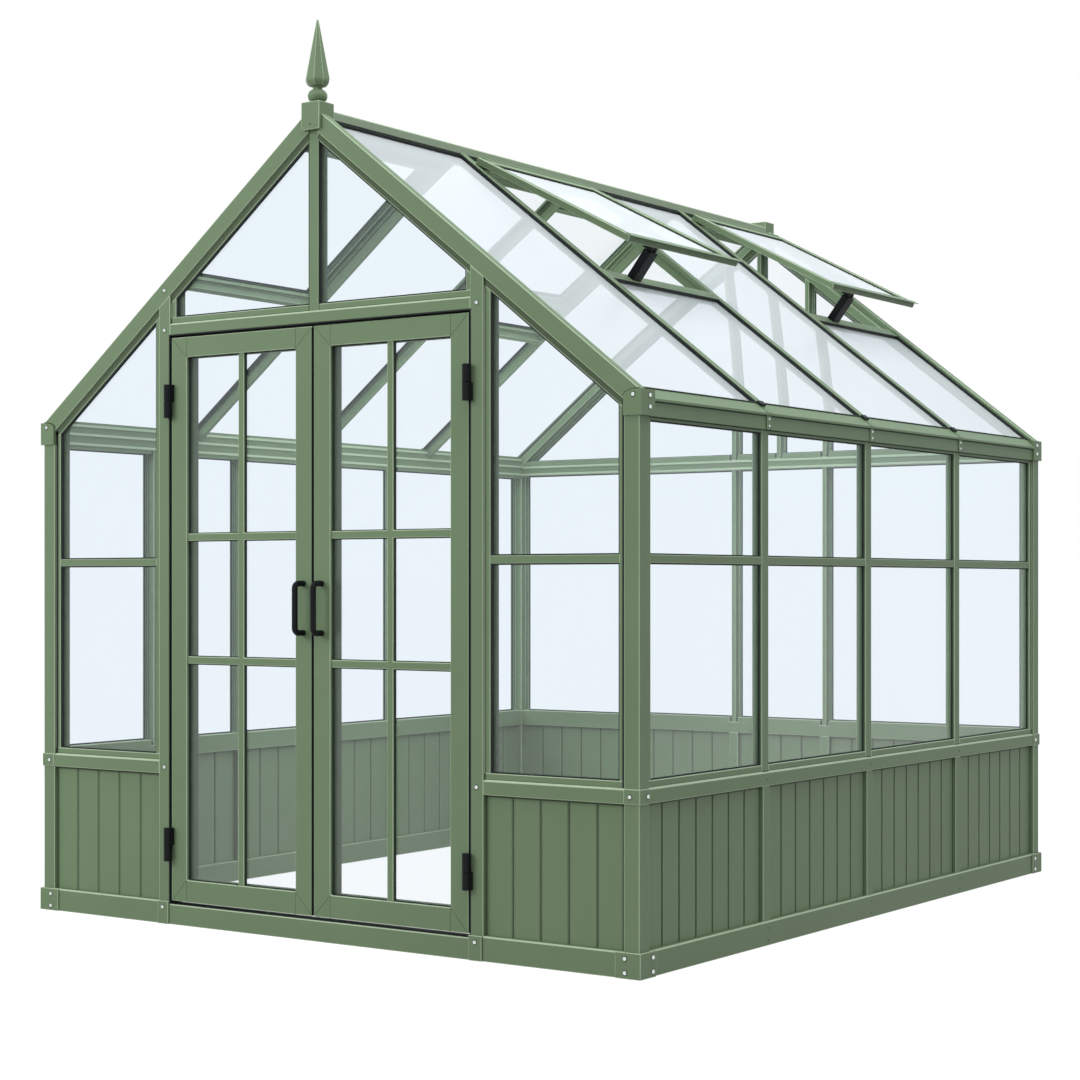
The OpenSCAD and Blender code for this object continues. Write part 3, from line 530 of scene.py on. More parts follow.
def add_turned(mesh, profile, centre, axis, segments):
    """A turned solid from radii and heights along an axis, closed at both ends."""
    turn = Vector((0.0, 0.0, 1.0)).rotation_difference(axis).to_matrix()
    rings = []
    for radius, height in profile:
        if radius == 0.0:
            rings.append([mesh.verts.new(centre + turn @ Vector((0.0, 0.0, height)))])
            continue
        ring = []
        for index in range(segments):
            angle = math.tau * index / segments
            spot = Vector((radius * math.cos(angle), radius * math.sin(angle), height))
            ring.append(mesh.verts.new(centre + turn @ spot))
        rings.append(ring)
    for ring, following in zip(rings, rings[1:]):
        for index in range(segments):
            after = (index + 1) % segments
            if len(ring) == 1:
                mesh.faces.new((ring[0], following[after], following[index]))
            elif len(following) == 1:
                mesh.faces.new((ring[index], ring[after], following[0]))
            else:
                mesh.faces.new((ring[index], ring[after], following[after], following[index]))


def add_screw(mesh, centre, axis, radius, height, segments):
    """A domed screw head with a round drive."""
    profile = [(across * radius, up * height) for across, up in SCREW_HEAD]
    add_turned(mesh, profile, centre, axis, segments)


def make_piece(name, mesh, material, body=BODY):
    """Turns a mesh under construction into a piece that rides on a body."""
    bmesh.ops.recalc_face_normals(mesh, faces=mesh.faces)
    data = bpy.data.meshes.new(name)
    mesh.to_mesh(data)
    mesh.free()
    piece = bpy.data.objects.new(name, data)
    bpy.context.scene.collection.objects.link(piece)
    data.materials.append(material)
    data.shade_smooth()
    data.set_sharp_from_angle(angle=SHARP_ANGLE)
    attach(piece, body)
    return piece


def soften(piece, width, segments=2, highlight_slot=-1):
    """Rounds the edges of a piece and keeps its flat faces flat in the light; with a highlight slot, the
    rounding gets a painted highlight.
    """
    weld = piece.modifiers.new("Weld", "WELD")
    weld.merge_threshold = WELD_GAP
    flatten = piece.modifiers.new("Flatten", "DECIMATE")
    flatten.decimate_type = "DISSOLVE"
    flatten.angle_limit = FLAT_ANGLE
    bevel = piece.modifiers.new("Edges", "BEVEL")
    bevel.width = width
    bevel.segments = segments
    bevel.limit_method = "ANGLE"
    bevel.angle_limit = EDGE_ANGLE
    bevel.use_clamp_overlap = True
    # A second material slot paints a highlight on the rounded edges
    bevel.material = highlight_slot
    normals = piece.modifiers.new("Normals", "WEIGHTED_NORMAL")
    normals.weight = FACE_WEIGHT
    normals.keep_sharp = False


# Materials


def value_node(tree, operation, first, second):
    """A math node; each input is a socket or a number."""
    node = tree.nodes.new("ShaderNodeMath")
    node.operation = operation
    for socket, source in zip(node.inputs, (first, second)):
        if isinstance(source, bpy.types.NodeSocket):
            tree.links.new(source, socket)
        else:
            socket.default_value = source
    return node.outputs[0]


def noise_node(tree, scale, detail):
    """Noise over the piece's own coordinates."""
    places = tree.nodes.new("ShaderNodeTexCoord")
    noise = tree.nodes.new("ShaderNodeTexNoise")
    noise.inputs["Detail"].default_value = detail
    tree.links.new(places.outputs["Object"], noise.inputs["Vector"])
    if isinstance(scale, bpy.types.NodeSocket):
        tree.links.new(scale, noise.inputs["Scale"])
    else:
        noise.inputs["Scale"].default_value = scale
    return noise.outputs["Fac"]


def mix_shaders(tree, share_of_second, first, second):
    """Two shaders, mixed by the share of the second."""
    mix = tree.nodes.new("ShaderNodeMixShader")
    for socket, source in zip(mix.inputs, (share_of_second, first, second)):
        tree.links.new(source, socket)
    return mix.outputs["Shader"]


def spread(tree, pattern, amount):
    """A pattern around its middle value, times an amount."""
    return value_node(tree, "MULTIPLY", value_node(tree, "SUBTRACT", pattern, 0.5), amount)


def coating_group():
    """A sprayed or moulded surface: broad tone, fine peel, and gloss that follows them."""
    if "Coating" in bpy.data.node_groups:
        return bpy.data.node_groups["Coating"]
    group = bpy.data.node_groups.new("Coating", "ShaderNodeTree")
    sockets = group.interface
    sockets.new_socket("Color", in_out="INPUT", socket_type="NodeSocketColor")
    for name in ("Tone Spread", "Roughness", "Gloss Spread", "Peel Scale"):
        sockets.new_socket(name, in_out="INPUT", socket_type="NodeSocketFloat")
    sockets.new_socket("Color", in_out="OUTPUT", socket_type="NodeSocketColor")
    for name in ("Roughness", "Height"):
        sockets.new_socket(name, in_out="OUTPUT", socket_type="NodeSocketFloat")
    start = group.nodes.new("NodeGroupInput")
    end = group.nodes.new("NodeGroupOutput")
    broad = noise_node(group, BROAD_SCALE, BROAD_DETAIL)
    peel = noise_node(group, start.outputs["Peel Scale"], PEEL_DETAIL)
    tone = spread(group, broad, start.outputs["Tone Spread"])
    shade = group.nodes.new("ShaderNodeHueSaturation")
    group.links.new(start.outputs["Color"], shade.inputs["Color"])
    group.links.new(value_node(group, "ADD", tone, 1.0), shade.inputs["Value"])
    group.links.new(shade.outputs["Color"], end.inputs["Color"])
    gloss = spread(group, peel, start.outputs["Gloss Spread"])
    group.links.new(value_node(group, "ADD", gloss, start.outputs["Roughness"]), end.inputs["Roughness"])
    group.links.new(peel, end.inputs["Height"])
    return group


def add_coating(tree, shader, base, roughness, tone, gloss, peel):
    """Places the coating in a material and feeds its colour and gloss to the shader."""
    coating = tree.nodes.new("ShaderNodeGroup")
    coating.node_tree = coating_group()
    coating.inputs["Color"].default_value = (*base, 1.0)
    coating.inputs["Tone Spread"].default_value = tone
    coating.inputs["Roughness"].default_value = roughness
    coating.inputs["Gloss Spread"].default_value = gloss
    coating.inputs["Peel Scale"].default_value = peel
    tree.links.new(coating.outputs["Color"], shader.inputs["Base Color"])
    tree.links.new(coating.outputs["Roughness"], shader.inputs["Roughness"])
    return coating


def coated_material(name, base, roughness, tone, gloss, peel, bump, metallic=0.0, sheen=0.5):
    """A material with the coating's tone, gloss and fine surface."""
    found = bpy.data.materials.get(name)
    if found:
        return found
    material = bpy.data.materials.new(name)
    material.use_nodes = True
    tree = material.node_tree
    shader = tree.nodes["Principled BSDF"]
    shader.inputs["Metallic"].default_value = metallic
    shader.inputs["Specular IOR Level"].default_value = sheen
    coating = add_coating(tree, shader, base, roughness, tone, gloss, peel)
    relief = tree.nodes.new("ShaderNodeBump")
    relief.inputs["Strength"].default_value = bump
    relief.inputs["Distance"].default_value = PEEL_HEIGHT
    tree.links.new(coating.outputs["Height"], relief.inputs["Height"])
    tree.links.new(relief.outputs["Normal"], shader.inputs["Normal"])
    return material


def powder_coat(name, base, roughness, bump=0.10, sheen=0.5):
    """Powder coat, even in tone, with a fine peel."""
    return coated_material(name, base, roughness, tone=0.16, gloss=0.22, peel=620.0, bump=bump, sheen=sheen)


def paint_material(finish):
    """Sage green powder coat."""
    return powder_coat("Sage Paint", finish.paint, finish.paint_roughness, sheen=finish.paint_sheen)


def edge_highlight_material(finish):
    """A lighter coat along the rounded edges and on the ribs, as a painted highlight."""
    return powder_coat("Painted Edge Highlight", finish.painted_edge_highlight, finish.paint_roughness, bump=0.05)


def ridge_light_material(finish):
    """A lighter coat: painted light on the ridge and painted highlights along the boards' edges."""
    return powder_coat("Painted Ridge Light", finish.painted_ridge_light, finish.paint_roughness)


def painted_shade_material(finish):
    """Painted shade: a darker coat in the recesses under a rafter, beside the panels and behind the panes.
    """
    return powder_coat("Painted Shade", finish.painted_shade_tone, roughness=0.6, sheen=0.2)


def seam_and_shade_material(finish):
    """The dark of a joint, a mitre or a screw's seat in the paint, and painted shade in grooves, around
    beads and along the eaves.
    """
    return coated_material(
        "Seams and Painted Shade",
        finish.seam,
        roughness=0.6,
        tone=0.2,
        gloss=0.1,
        peel=300.0,
        bump=0.05,
        sheen=0.15,
    )


def black_material(finish):
    """Satin black coated metal."""
    return coated_material(
        "Black Fittings",
        finish.black,
        roughness=0.34,
        tone=0.3,
        gloss=0.25,
        peel=900.0,
        bump=0.12,
        sheen=0.12,
    )


def rubber_material(finish):
    """Dark rubber of gaskets, seals and end caps."""
    return coated_material(
        "Gasket Rubber",
        finish.rubber,
        roughness=0.62,
        tone=0.3,
        gloss=0.2,
        peel=450.0,
        bump=0.15,
        sheen=0.2,
    )


def zinc_material(finish):
    """Bright zinc-plated screw heads."""
    return coated_material(
        "Zinc Screws",
        finish.zinc,
        roughness=0.30,
        tone=0.25,
        gloss=0.3,
        peel=1400.0,
        bump=0.08,
        metallic=1.0,
    )


def painted_veil_shader(tree, finish, surface):
    """A painted reflection: a pale veil on the upper faces, thin to a straight look and dense at a slant.
    """
    faces = tree.nodes.new("ShaderNodeNewGeometry")
    split = tree.nodes.new("ShaderNodeSeparateXYZ")
    tree.links.new(faces.outputs["Normal"], split.inputs["Vector"])
    upper = value_node(tree, "GREATER_THAN", split.outputs["Z"], 0.0)
    slant = tree.nodes.new("ShaderNodeLayerWeight")
    slant.inputs["Blend"].default_value = 0.5
    veil = tree.nodes.new("ShaderNodeBsdfDiffuse")
    veil.inputs["Color"].default_value = (*finish.painted_veil, 1.0)
    dense = value_node(tree, "POWER", slant.outputs["Facing"], VEIL_FALL)
    return mix_shaders(tree, value_node(tree, "MULTIPLY", dense, upper), surface, veil.outputs["BSDF"])


def glass_material(finish, name="Clear Glass", veiled=False):
    """Clear float glass with a faint tint and smears; the first face reflects and the rest are clear."""
    found = bpy.data.materials.get(name)
    if found:
        return found
    material = bpy.data.materials.new(name)
    material.use_nodes = True
    tree = material.node_tree
    shader = tree.nodes["Principled BSDF"]
    qualities = {
        "Metallic": 0.0,
        "Transmission Weight": 1.0,
        "IOR": 1.02,
        "Coat Weight": 1.0,
        "Coat Roughness": 0.32,
        "Coat IOR": 1.85,
    }
    for quality, value in qualities.items():
        shader.inputs[quality].default_value = value
    add_coating(tree, shader, finish.glass, roughness=0.0, tone=0.03, gloss=0.02, peel=6.0)
    surface = shader.outputs["BSDF"]
    # The roof and vent panes get a painted reflection: a pale veil, densest at a slant
    if veiled:
        surface = painted_veil_shader(tree, finish, surface)
    paths = tree.nodes.new("ShaderNodeLightPath")
    face_tint = [math.sqrt(value) for value in finish.glass]
    for kind in ("Is Transmission Ray", "Is Diffuse Ray", "Is Shadow Ray"):
        clear = tree.nodes.new("ShaderNodeBsdfTransparent")
        clear.inputs["Color"].default_value = (*face_tint, 1.0)
        surface = mix_shaders(tree, paths.outputs[kind], surface, clear.outputs["BSDF"])
    tree.links.new(surface, tree.nodes["Material Output"].inputs["Surface"])
    return material


def dress(name, *materials):
    """Gives a frame node its materials, the main one first."""
    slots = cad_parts[name].data.materials
    slots.clear()
    for material in materials:
        slots.append(material)


# Openings of the panes, as outlines on their walls


def wall_spans(wall, edge, bar):
    """Clear spans of a wall's bays, given the half widths of its end posts and of the bars between them."""
    half = HALF_WIDTH if wall == "back" else HALF_LENGTH
    bars = WALL_BARS[wall]
    middles = (POST / 2 - half, *bars, half - POST / 2)
    halves = (edge, *[bar] * len(bars), edge)
    spans = []
    for index in range(len(middles) - 1):
        spans.append((middles[index] + halves[index], middles[index + 1] - halves[index + 1]))
    return spans


def front_openings():
    """The panes of the door gable."""
    outer = HALF_WIDTH - POST - BEAD
    inner = DOOR_HALF + DOOR_POST + BEAD
    drop = RAFTER + BEAD
    found = []
    for side in BOTH_SIDES:
        found.append(rectangle(side * inner, side * outer, CILL_TOP + BEAD, BAR_MIDDLE - BAR_FACE / 2))
        found.append(gable_outline(side * inner, side * outer, BAR_MIDDLE + BAR_FACE / 2, drop))
        found.append(gable_outline(side * KING_POST / 2, side * (DOOR_HALF - BEAD), HEAD_TOP + BEAD, drop))
    return found


def right_openings():
    """The panes of the right wall, above and below the glazing bars."""
    found = []
    for low, high in wall_spans("right", POST / 2 + BEAD, MULLION / 2):
        found.append(rectangle(low, high, CILL_TOP + BEAD, BAR_MIDDLE - BAR_FACE / 2))
        found.append(rectangle(low, high, BAR_MIDDLE + BAR_FACE / 2, EAVES_HEIGHT - EAVES_LIP))
    return found


def left_openings():
    """The tall panes of the left wall."""
    return [
        rectangle(low, high, CILL_TOP + BEAD, EAVES_HEIGHT - EAVES_LIP)
        for low, high in wall_spans("left", POST / 2 + BEAD, MULLION / 2)
    ]


def back_openings():
    """The panes of the back gable, below and above the tie rail."""
    edge = HALF_WIDTH - POST - BEAD
    half = MULLION / 2
    drop = RAFTER + BEAD
    found = []
    for low, high in wall_spans("back", POST / 2 + BEAD, half):
        found.append(rectangle(low, high, CILL_TOP + BEAD, TIE_LOW))
    for side in BOTH_SIDES:
        inner = (side * KING_POST / 2, side * (BACK_MULLION - half))
        outer = (side * (BACK_MULLION + half), side * edge)
        for span in (inner, outer):
            found.append(gable_outline(*span, TIE_TOP + BEAD, drop))
    return found


def roof_openings(vent_bays):
    """The roof panes of one slope, short below a vent, as outlines up the slope and along the ridge."""
    top = (HALF_WIDTH - RIDGE_HALF) / math.cos(PITCH) - ROOF_GLASS * math.tan(PITCH)
    found = []
    for index, (low, high) in enumerate(wall_spans("right", RAFTER_TOP - POST / 2, ROOF_CAP / 2)):
        high_edge = SILL_MIDDLE - SILL / 2 if index in vent_bays else top
        found.append(rectangle(BAND_UP, high_edge, low, high))
    return found


def vent_outline(index, margin):
    """A roof vent, moved in from its edges."""
    low, high = wall_spans("right", RAFTER_TOP - POST / 2 + VENT_GAP, VENT_GAP)[index]
    return rectangle(VENT_HINGE - VENT_LENGTH + margin, VENT_HINGE - margin, low + margin, high - margin)


def leaf_openings():
    """The six lights of a door leaf."""
    left = STILE
    right = LEAF_WIDTH - STILE
    middle = LEAF_WIDTH / 2
    half = MUNTIN / 2
    rows = (
        (BOTTOM_RAIL, MUNTIN_LOW - half),
        (MUNTIN_LOW + half, MUNTIN_HIGH - half),
        (MUNTIN_HIGH + half, LEAF_HEIGHT - TOP_RAIL),
    )
    found = []
    for low, high in rows:
        found.append(rectangle(left, middle - half, low, high))
        found.append(rectangle(middle + half, right, low, high))
    return found


# Operators


class GREENHOUSE_OT_studio(bpy.types.Operator):
    """Set up the camera, lamps, white surroundings and floor"""

    bl_idname = "greenhouse.studio"
    bl_label = "Set Up Studio"

    def execute(self, context):
        studio = context.scene.greenhouse_studio
        context.scene.view_settings.view_transform = "Standard"
        self.make_camera(context, studio)
        self.make_world(context, studio)
        self.make_floor(context, studio)
        self.make_lamp(context, "Key Lamp", "AREA", studio.key, KEY_SIZE, KEY_PLACE)
        self.make_lamp(context, "Top Lamp", "AREA", studio.top, TOP_SIZE, TOP_PLACE)
        self.make_lamp(context, "Inside Lamp", "POINT", studio.inside, INSIDE_SIZE, INSIDE_PLACE)
        return {"FINISHED"}

    def make_camera(self, context, studio):
        """A level camera whose lens is shifted, so that uprights stay upright."""
        lens = bpy.data.cameras.new("Camera")
        lens.sensor_width = SENSOR_WIDTH
        lens.lens = studio.camera_lens
        lens.shift_y = studio.camera_shift
        camera = bpy.data.objects.new("Camera", lens)
        camera.location = studio.camera_place
        camera.rotation_euler = (LEVEL, 0.0, studio.camera_turn)
        context.scene.collection.objects.link(camera)
        context.scene.camera = camera

    def make_world(self, context, studio):
        """Surroundings that look white, light the part evenly, and tint what reflects them."""
        world = bpy.data.worlds.new("White Surroundings")
        world.use_nodes = True
        context.scene.world = world
        tree = world.node_tree
        glow = tree.nodes["Background"]
        paths = tree.nodes.new("ShaderNodeLightPath")
        mirrored = paths.outputs["Is Glossy Ray"]
        through = paths.outputs["Is Transmission Ray"]
        hue = tree.nodes.new("ShaderNodeMix")
        hue.data_type = "RGBA"
        hue.inputs["A"].default_value = (1.0, 1.0, 1.0, 1.0)
        hue.inputs["B"].default_value = (*studio.reflected, 1.0)
        tree.links.new(value_node(tree, "SUBTRACT", mirrored, through), hue.inputs["Factor"])
        tree.links.new(hue.outputs["Result"], glow.inputs["Color"])
        seen = value_node(tree, "MAXIMUM", paths.outputs["Is Camera Ray"], mirrored)
        seen = value_node(tree, "MAXIMUM", seen, through)
        extra = value_node(tree, "MULTIPLY", seen, 1.0 - studio.ambient)
        tree.links.new(value_node(tree, "ADD", extra, studio.ambient), glow.inputs["Strength"])

    def make_floor(self, context, studio):
        """A floor that looks white, also by reflection and through glass, and takes the shadow."""
        material = bpy.data.materials.new("Studio Floor")
        material.use_nodes = True
        tree = material.node_tree
        tree.nodes.remove(tree.nodes["Principled BSDF"])
        paths = tree.nodes.new("ShaderNodeLightPath")
        matt = tree.nodes.new("ShaderNodeBsdfDiffuse")
        matt.inputs["Color"].default_value = (studio.floor, studio.floor, studio.floor, 1.0)
        glow = tree.nodes.new("ShaderNodeEmission")
        seen = value_node(tree, "MULTIPLY", paths.outputs["Is Camera Ray"], 1.0 - FLOOR_LIT * studio.floor)
        tree.links.new(seen, glow.inputs["Strength"])
        both = tree.nodes.new("ShaderNodeAddShader")
        tree.links.new(matt.outputs["BSDF"], both.inputs[0])
        tree.links.new(glow.outputs["Emission"], both.inputs[1])
        white = tree.nodes.new("ShaderNodeEmission")
        through = paths.outputs["Is Transmission Ray"]
        indirect = value_node(tree, "MAXIMUM", paths.outputs["Is Glossy Ray"], through)
        surface = mix_shaders(tree, indirect, both.outputs["Shader"], white.outputs["Emission"])
        tree.links.new(surface, tree.nodes["Material Output"].inputs["Surface"])
        sheet = bmesh.new()
        bmesh.ops.create_grid(sheet, x_segments=1, y_segments=1, size=FLOOR_SIZE)
        bmesh.ops.translate(sheet, verts=sheet.verts, vec=(0.0, 0.0, -FLOOR_DROP))
        data = bpy.data.meshes.new("Floor")
        sheet.to_mesh(data)
        sheet.free()
        floor = bpy.data.objects.new("Floor", data)
        data.materials.append(material)
        context.scene.collection.objects.link(floor)

    def make_lamp(self, context, name, kind, power_in_watts, size, place):
        """A lamp that turns to the part and stays out of sight."""
        light = bpy.data.lights.new(name, kind)
        light.energy = power_in_watts
        if kind == "AREA":
            light.shape = "DISK"
            light.size = size
        else:
            light.shadow_soft_size = size / 2
        lamp = bpy.data.objects.new(name, light)
        lamp.location = place
        lamp.rotation_euler = (LAMP_TARGET - place).to_track_quat("-Z", "Y").to_euler()
        lamp.visible_camera = False
        lamp.visible_glossy = False
        lamp.visible_transmission = False
        context.scene.collection.objects.link(lamp)


class GREENHOUSE_OT_paint_frame(bpy.types.Operator):
    """Paint the aluminium frame and round its edges, with a painted highlight on the rounding and painted
    light on the ridge
    """

    bl_idname = "greenhouse.paint_frame"
    bl_label = "Paint Frame"

    def execute(self, context):
        finish = context.scene.greenhouse_finish
        width = context.scene.greenhouse_trim.edge_round
        for name in PAINT_NODES:
            if name.endswith("_panels"):
                dress(name, paint_material(finish))
                soften(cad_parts[name], PANEL_ROUND_SHARE * width)
                continue
            # The ridge gets a lighter coat as painted light, and the second slot paints a highlight on the
            # rounded edges
            coat = ridge_light_material(finish) if name == "ridge_beam" else paint_material(finish)
            dress(name, coat, edge_highlight_material(finish))
            soften(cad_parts[name], width, highlight_slot=1)
        return {"FINISHED"}


class GREENHOUSE_OT_glaze(bpy.types.Operator):
    """Make the panes clear glass, with a painted reflection on the roof"""

    bl_idname = "greenhouse.glaze"
    bl_label = "Glaze Panes"

    def execute(self, context):
        finish = context.scene.greenhouse_finish
        for name in GLASS_NODES:
            veiled = name.endswith(("roof_glass", "vent_glass"))
            dress(name, glass_material(finish, "Roof Glass", True) if veiled else glass_material(finish))
            soften(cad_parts[name], PANE_ROUND, segments=1)
        return {"FINISHED"}


class GREENHOUSE_OT_blacken_fittings(bpy.types.Operator):
    """Coat the hinges, handles and vent openers in satin black"""

    bl_idname = "greenhouse.blacken_fittings"
    bl_label = "Blacken Fittings"

    def execute(self, context):
        material = black_material(context.scene.greenhouse_finish)
        for name in BLACK_NODES:
            dress(name, material)
            soften(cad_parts[name], FITTING_ROUND)
        return {"FINISHED"}


class GREENHOUSE_OT_screws(bpy.types.Operator):
    """Fit the bright screws of the brackets and clips and the painted screws of the rails"""

    bl_idname = "greenhouse.screws"
    bl_label = "Fit Screws"

    def execute(self, context):
        finish = context.scene.greenhouse_finish
        trim = context.scene.greenhouse_trim
        bright = zinc_material(finish)
        groups = {
            "base_screws": self.base_spots(),
            "cill_screws": self.cill_spots(),
            "eaves_screws": self.eaves_spots(),
            "gable_screws": self.gable_spots(),
        }
        seats = bmesh.new()
        reach = trim.screw_radius + trim.screw_seat
        seat = ((0.0, 0.0), (reach, 0.0), (reach, SEAT_HEIGHT), (0.0, SEAT_HEIGHT))
        for name, spots in groups.items():
            mesh = bmesh.new()
            for centre, axis in spots:
                add_screw(mesh, centre, axis, trim.screw_radius, trim.screw_height, trim.segments)
                add_turned(seats, seat, centre, axis, trim.segments)
            make_piece(name, mesh, bright)
        make_piece("screw_seats", seats, seam_and_shade_material(finish))
        make_piece("rail_screws", self.rivets(trim, self.rail_spots()), paint_material(finish))
        make_piece("clip_screws", self.rivets(trim, self.clip_spots()), bright)
        return {"FINISHED"}

    def rivets(self, trim, spots):
        """The mesh of the small screws of the rails and clips."""
        mesh = bmesh.new()
        for centre, axis in spots:
            add_screw(mesh, centre, axis, trim.rivet_radius, trim.rivet_height, trim.segments)
        return mesh

    def on_wall(self, wall, along, height, proud):
        """A spot on a wall, with the direction in which a screw stands there."""
        return wall_point(wall, along, -proud, height), wall_normal(wall)

    def both_ends(self, wall, from_end, height, proud):
        """Two spots at the same distance from the ends of a wall."""
        half = HALF_WIDTH if wall in GABLES else HALF_LENGTH
        return [self.on_wall(wall, side * (half - from_end), height, proud) for side in BOTH_SIDES]

    def door_post_pair(self, height, proud):
        """Two spots on the middles of the door posts."""
        middle = DOOR_HALF + DOOR_POST / 2
        return [self.on_wall("front", side * middle, height, proud) for side in BOTH_SIDES]

    def base_spots(self):
        """Screws of the brackets at the base and of the shoes under the door posts."""
        spots = []
        for wall in (*GABLES, *SIDE_WALLS):
            from_end = GABLE_BASE_SCREW if wall in GABLES else SIDE_BASE_SCREW
            for height in BASE_SCREW_HEIGHTS:
                spots += self.both_ends(wall, from_end, height, BRACKET_PROUD)
        return spots + self.door_post_pair(SHOE_SCREW_HEIGHT, BRACKET_PROUD)

    def cill_spots(self):
        """Screws of the cill brackets and of the cill rails at the door posts."""
        middle = (CILL_LOW + CILL_TOP) / 2
        spots = []
        for wall in (*GABLES, *SIDE_WALLS):
            from_end = GABLE_CILL_SCREW if wall in GABLES else SIDE_CILL_SCREW
            spots += self.both_ends(wall, from_end, middle, CILL_PROUD)
        return spots + self.door_post_pair(middle, 0.0)

    def eaves_spots(self):
        """Screws of the brackets at the ends of the eaves."""
        spots = []
        for wall in GABLES:
            spots += self.both_ends(wall, GABLE_EAVES_SCREW, GABLE_EAVES_SCREW_HEIGHT, EAVES_PROUD)
        for wall in SIDE_WALLS:
            for height in SIDE_EAVES_SCREW_HEIGHTS:
                spots += self.both_ends(wall, SIDE_EAVES_SCREW, height, NOSE_OUT)
        return spots

    def gable_spots(self):
        """Screws of the door header, and one higher up on the left door post."""
        header = (HEAD_LOW + HEAD_TOP) / 2
        left_post = -DOOR_HALF - DOOR_POST / 2
        spots = self.door_post_pair(header, 0.0)
        spots.append(self.on_wall("front", left_post, header + POST_SCREW_RISE, 0.0))
        return spots

    def rail_spots(self):
        """Painted screws of the base and cill rails at the bars, and of the apex blocks."""
        spots = []
        middle = (CILL_LOW + CILL_TOP) / 2
        for wall in (*SIDE_WALLS, "back"):
            for along in WALL_BARS[wall]:
                for height in RAIL_SCREW_HEIGHTS:
                    spots.append(self.on_wall(wall, along, height, BASE_PROUD))
                spots.append(self.on_wall(wall, along, middle, 0.0))
        apex_low, apex_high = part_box("apex_blocks")
        for wall, end in (("front", apex_low.y), ("back", apex_high.y)):
            spots.append((Vector((0.0, end, apex_low.z + APEX_SCREW_RISE)), wall_normal(wall)))
        return spots

    def clip_spots(self):
        """Screws of the clip plates along the eaves."""
        spots = []
        for wall in SIDE_WALLS:
            for along in WALL_BARS[wall]:
                for height in CLIP_SCREW_HEIGHTS:
                    spots.append(self.on_wall(wall, along, height, CLIP_PROUD + PLATE_THICK))
        return spots


class GREENHOUSE_OT_gaskets(bpy.types.Operator):
    """Seal every pane with a dark gasket beside its beads"""

    bl_idname = "greenhouse.gaskets"
    bl_label = "Fit Gaskets"

    def execute(self, context):
        trim = context.scene.greenhouse_trim
        rubber = rubber_material(context.scene.greenhouse_finish)
        self.seal_walls(trim, rubber)
        self.seal_roof(trim, rubber)
        self.seal_vents(trim, rubber)
        self.seal_leaves(trim, rubber)
        return {"FINISHED"}

    def seal_walls(self, trim, rubber):
        """Gaskets of the four walls, deepest in the front."""
        walls = {
            "front": front_openings(),
            "right": right_openings(),
            "left": left_openings(),
            "back": back_openings(),
        }
        for wall, outlines in walls.items():
            mesh = bmesh.new()
            near = GLASS_DEPTH - trim.gasket_depth * (1.0 if wall == "front" else WALL_GASKET_DEPTH)
            for outline in outlines:
                add_ring(mesh, outline, trim.gasket_width, near, GLASS_DEPTH, wall_place(wall))
            make_piece(wall + "_gaskets", mesh, rubber)

    def seal_roof(self, trim, rubber):
        """Gaskets of the fixed roof panes."""
        near = ROOF_GLASS - trim.gasket_depth
        for name, (side, bays, _) in zip(SIDE_WALLS, VENTS):
            mesh = bmesh.new()
            for outline in roof_openings(bays):
                add_ring(mesh, outline, trim.gasket_width, near, ROOF_GLASS, slope_place(side))
            make_piece(name + "_roof_gaskets", mesh, rubber)

    def seal_vents(self, trim, rubber):
        """Gaskets of the vents, turned with them."""
        mesh = bmesh.new()
        far = CAP_LOW + VENT_GLASS - VENT_THICK
        for side, bays, swing in VENTS:
            for index in bays:
                outline = vent_outline(index, VENT_RAIL)
                add_ring(mesh, outline, trim.gasket_width, far - VENT_GASKET, far, slope_place(side, swing))
        make_piece("vent_gaskets", mesh, rubber)

    def seal_leaves(self, trim, rubber):
        """Gaskets of the door lights."""
        width = LEAF_GASKET_WIDTH * trim.gasket_width
        near = LEAF_GLASS - LEAF_GASKET_DEPTH * trim.gasket_depth
        for body, side in LEAVES:
            mesh = bmesh.new()
            for outline in leaf_openings():
                add_ring(mesh, outline, width, near, LEAF_GLASS, leaf_place(side))
            make_piece(body + "_gaskets", mesh, rubber, body)


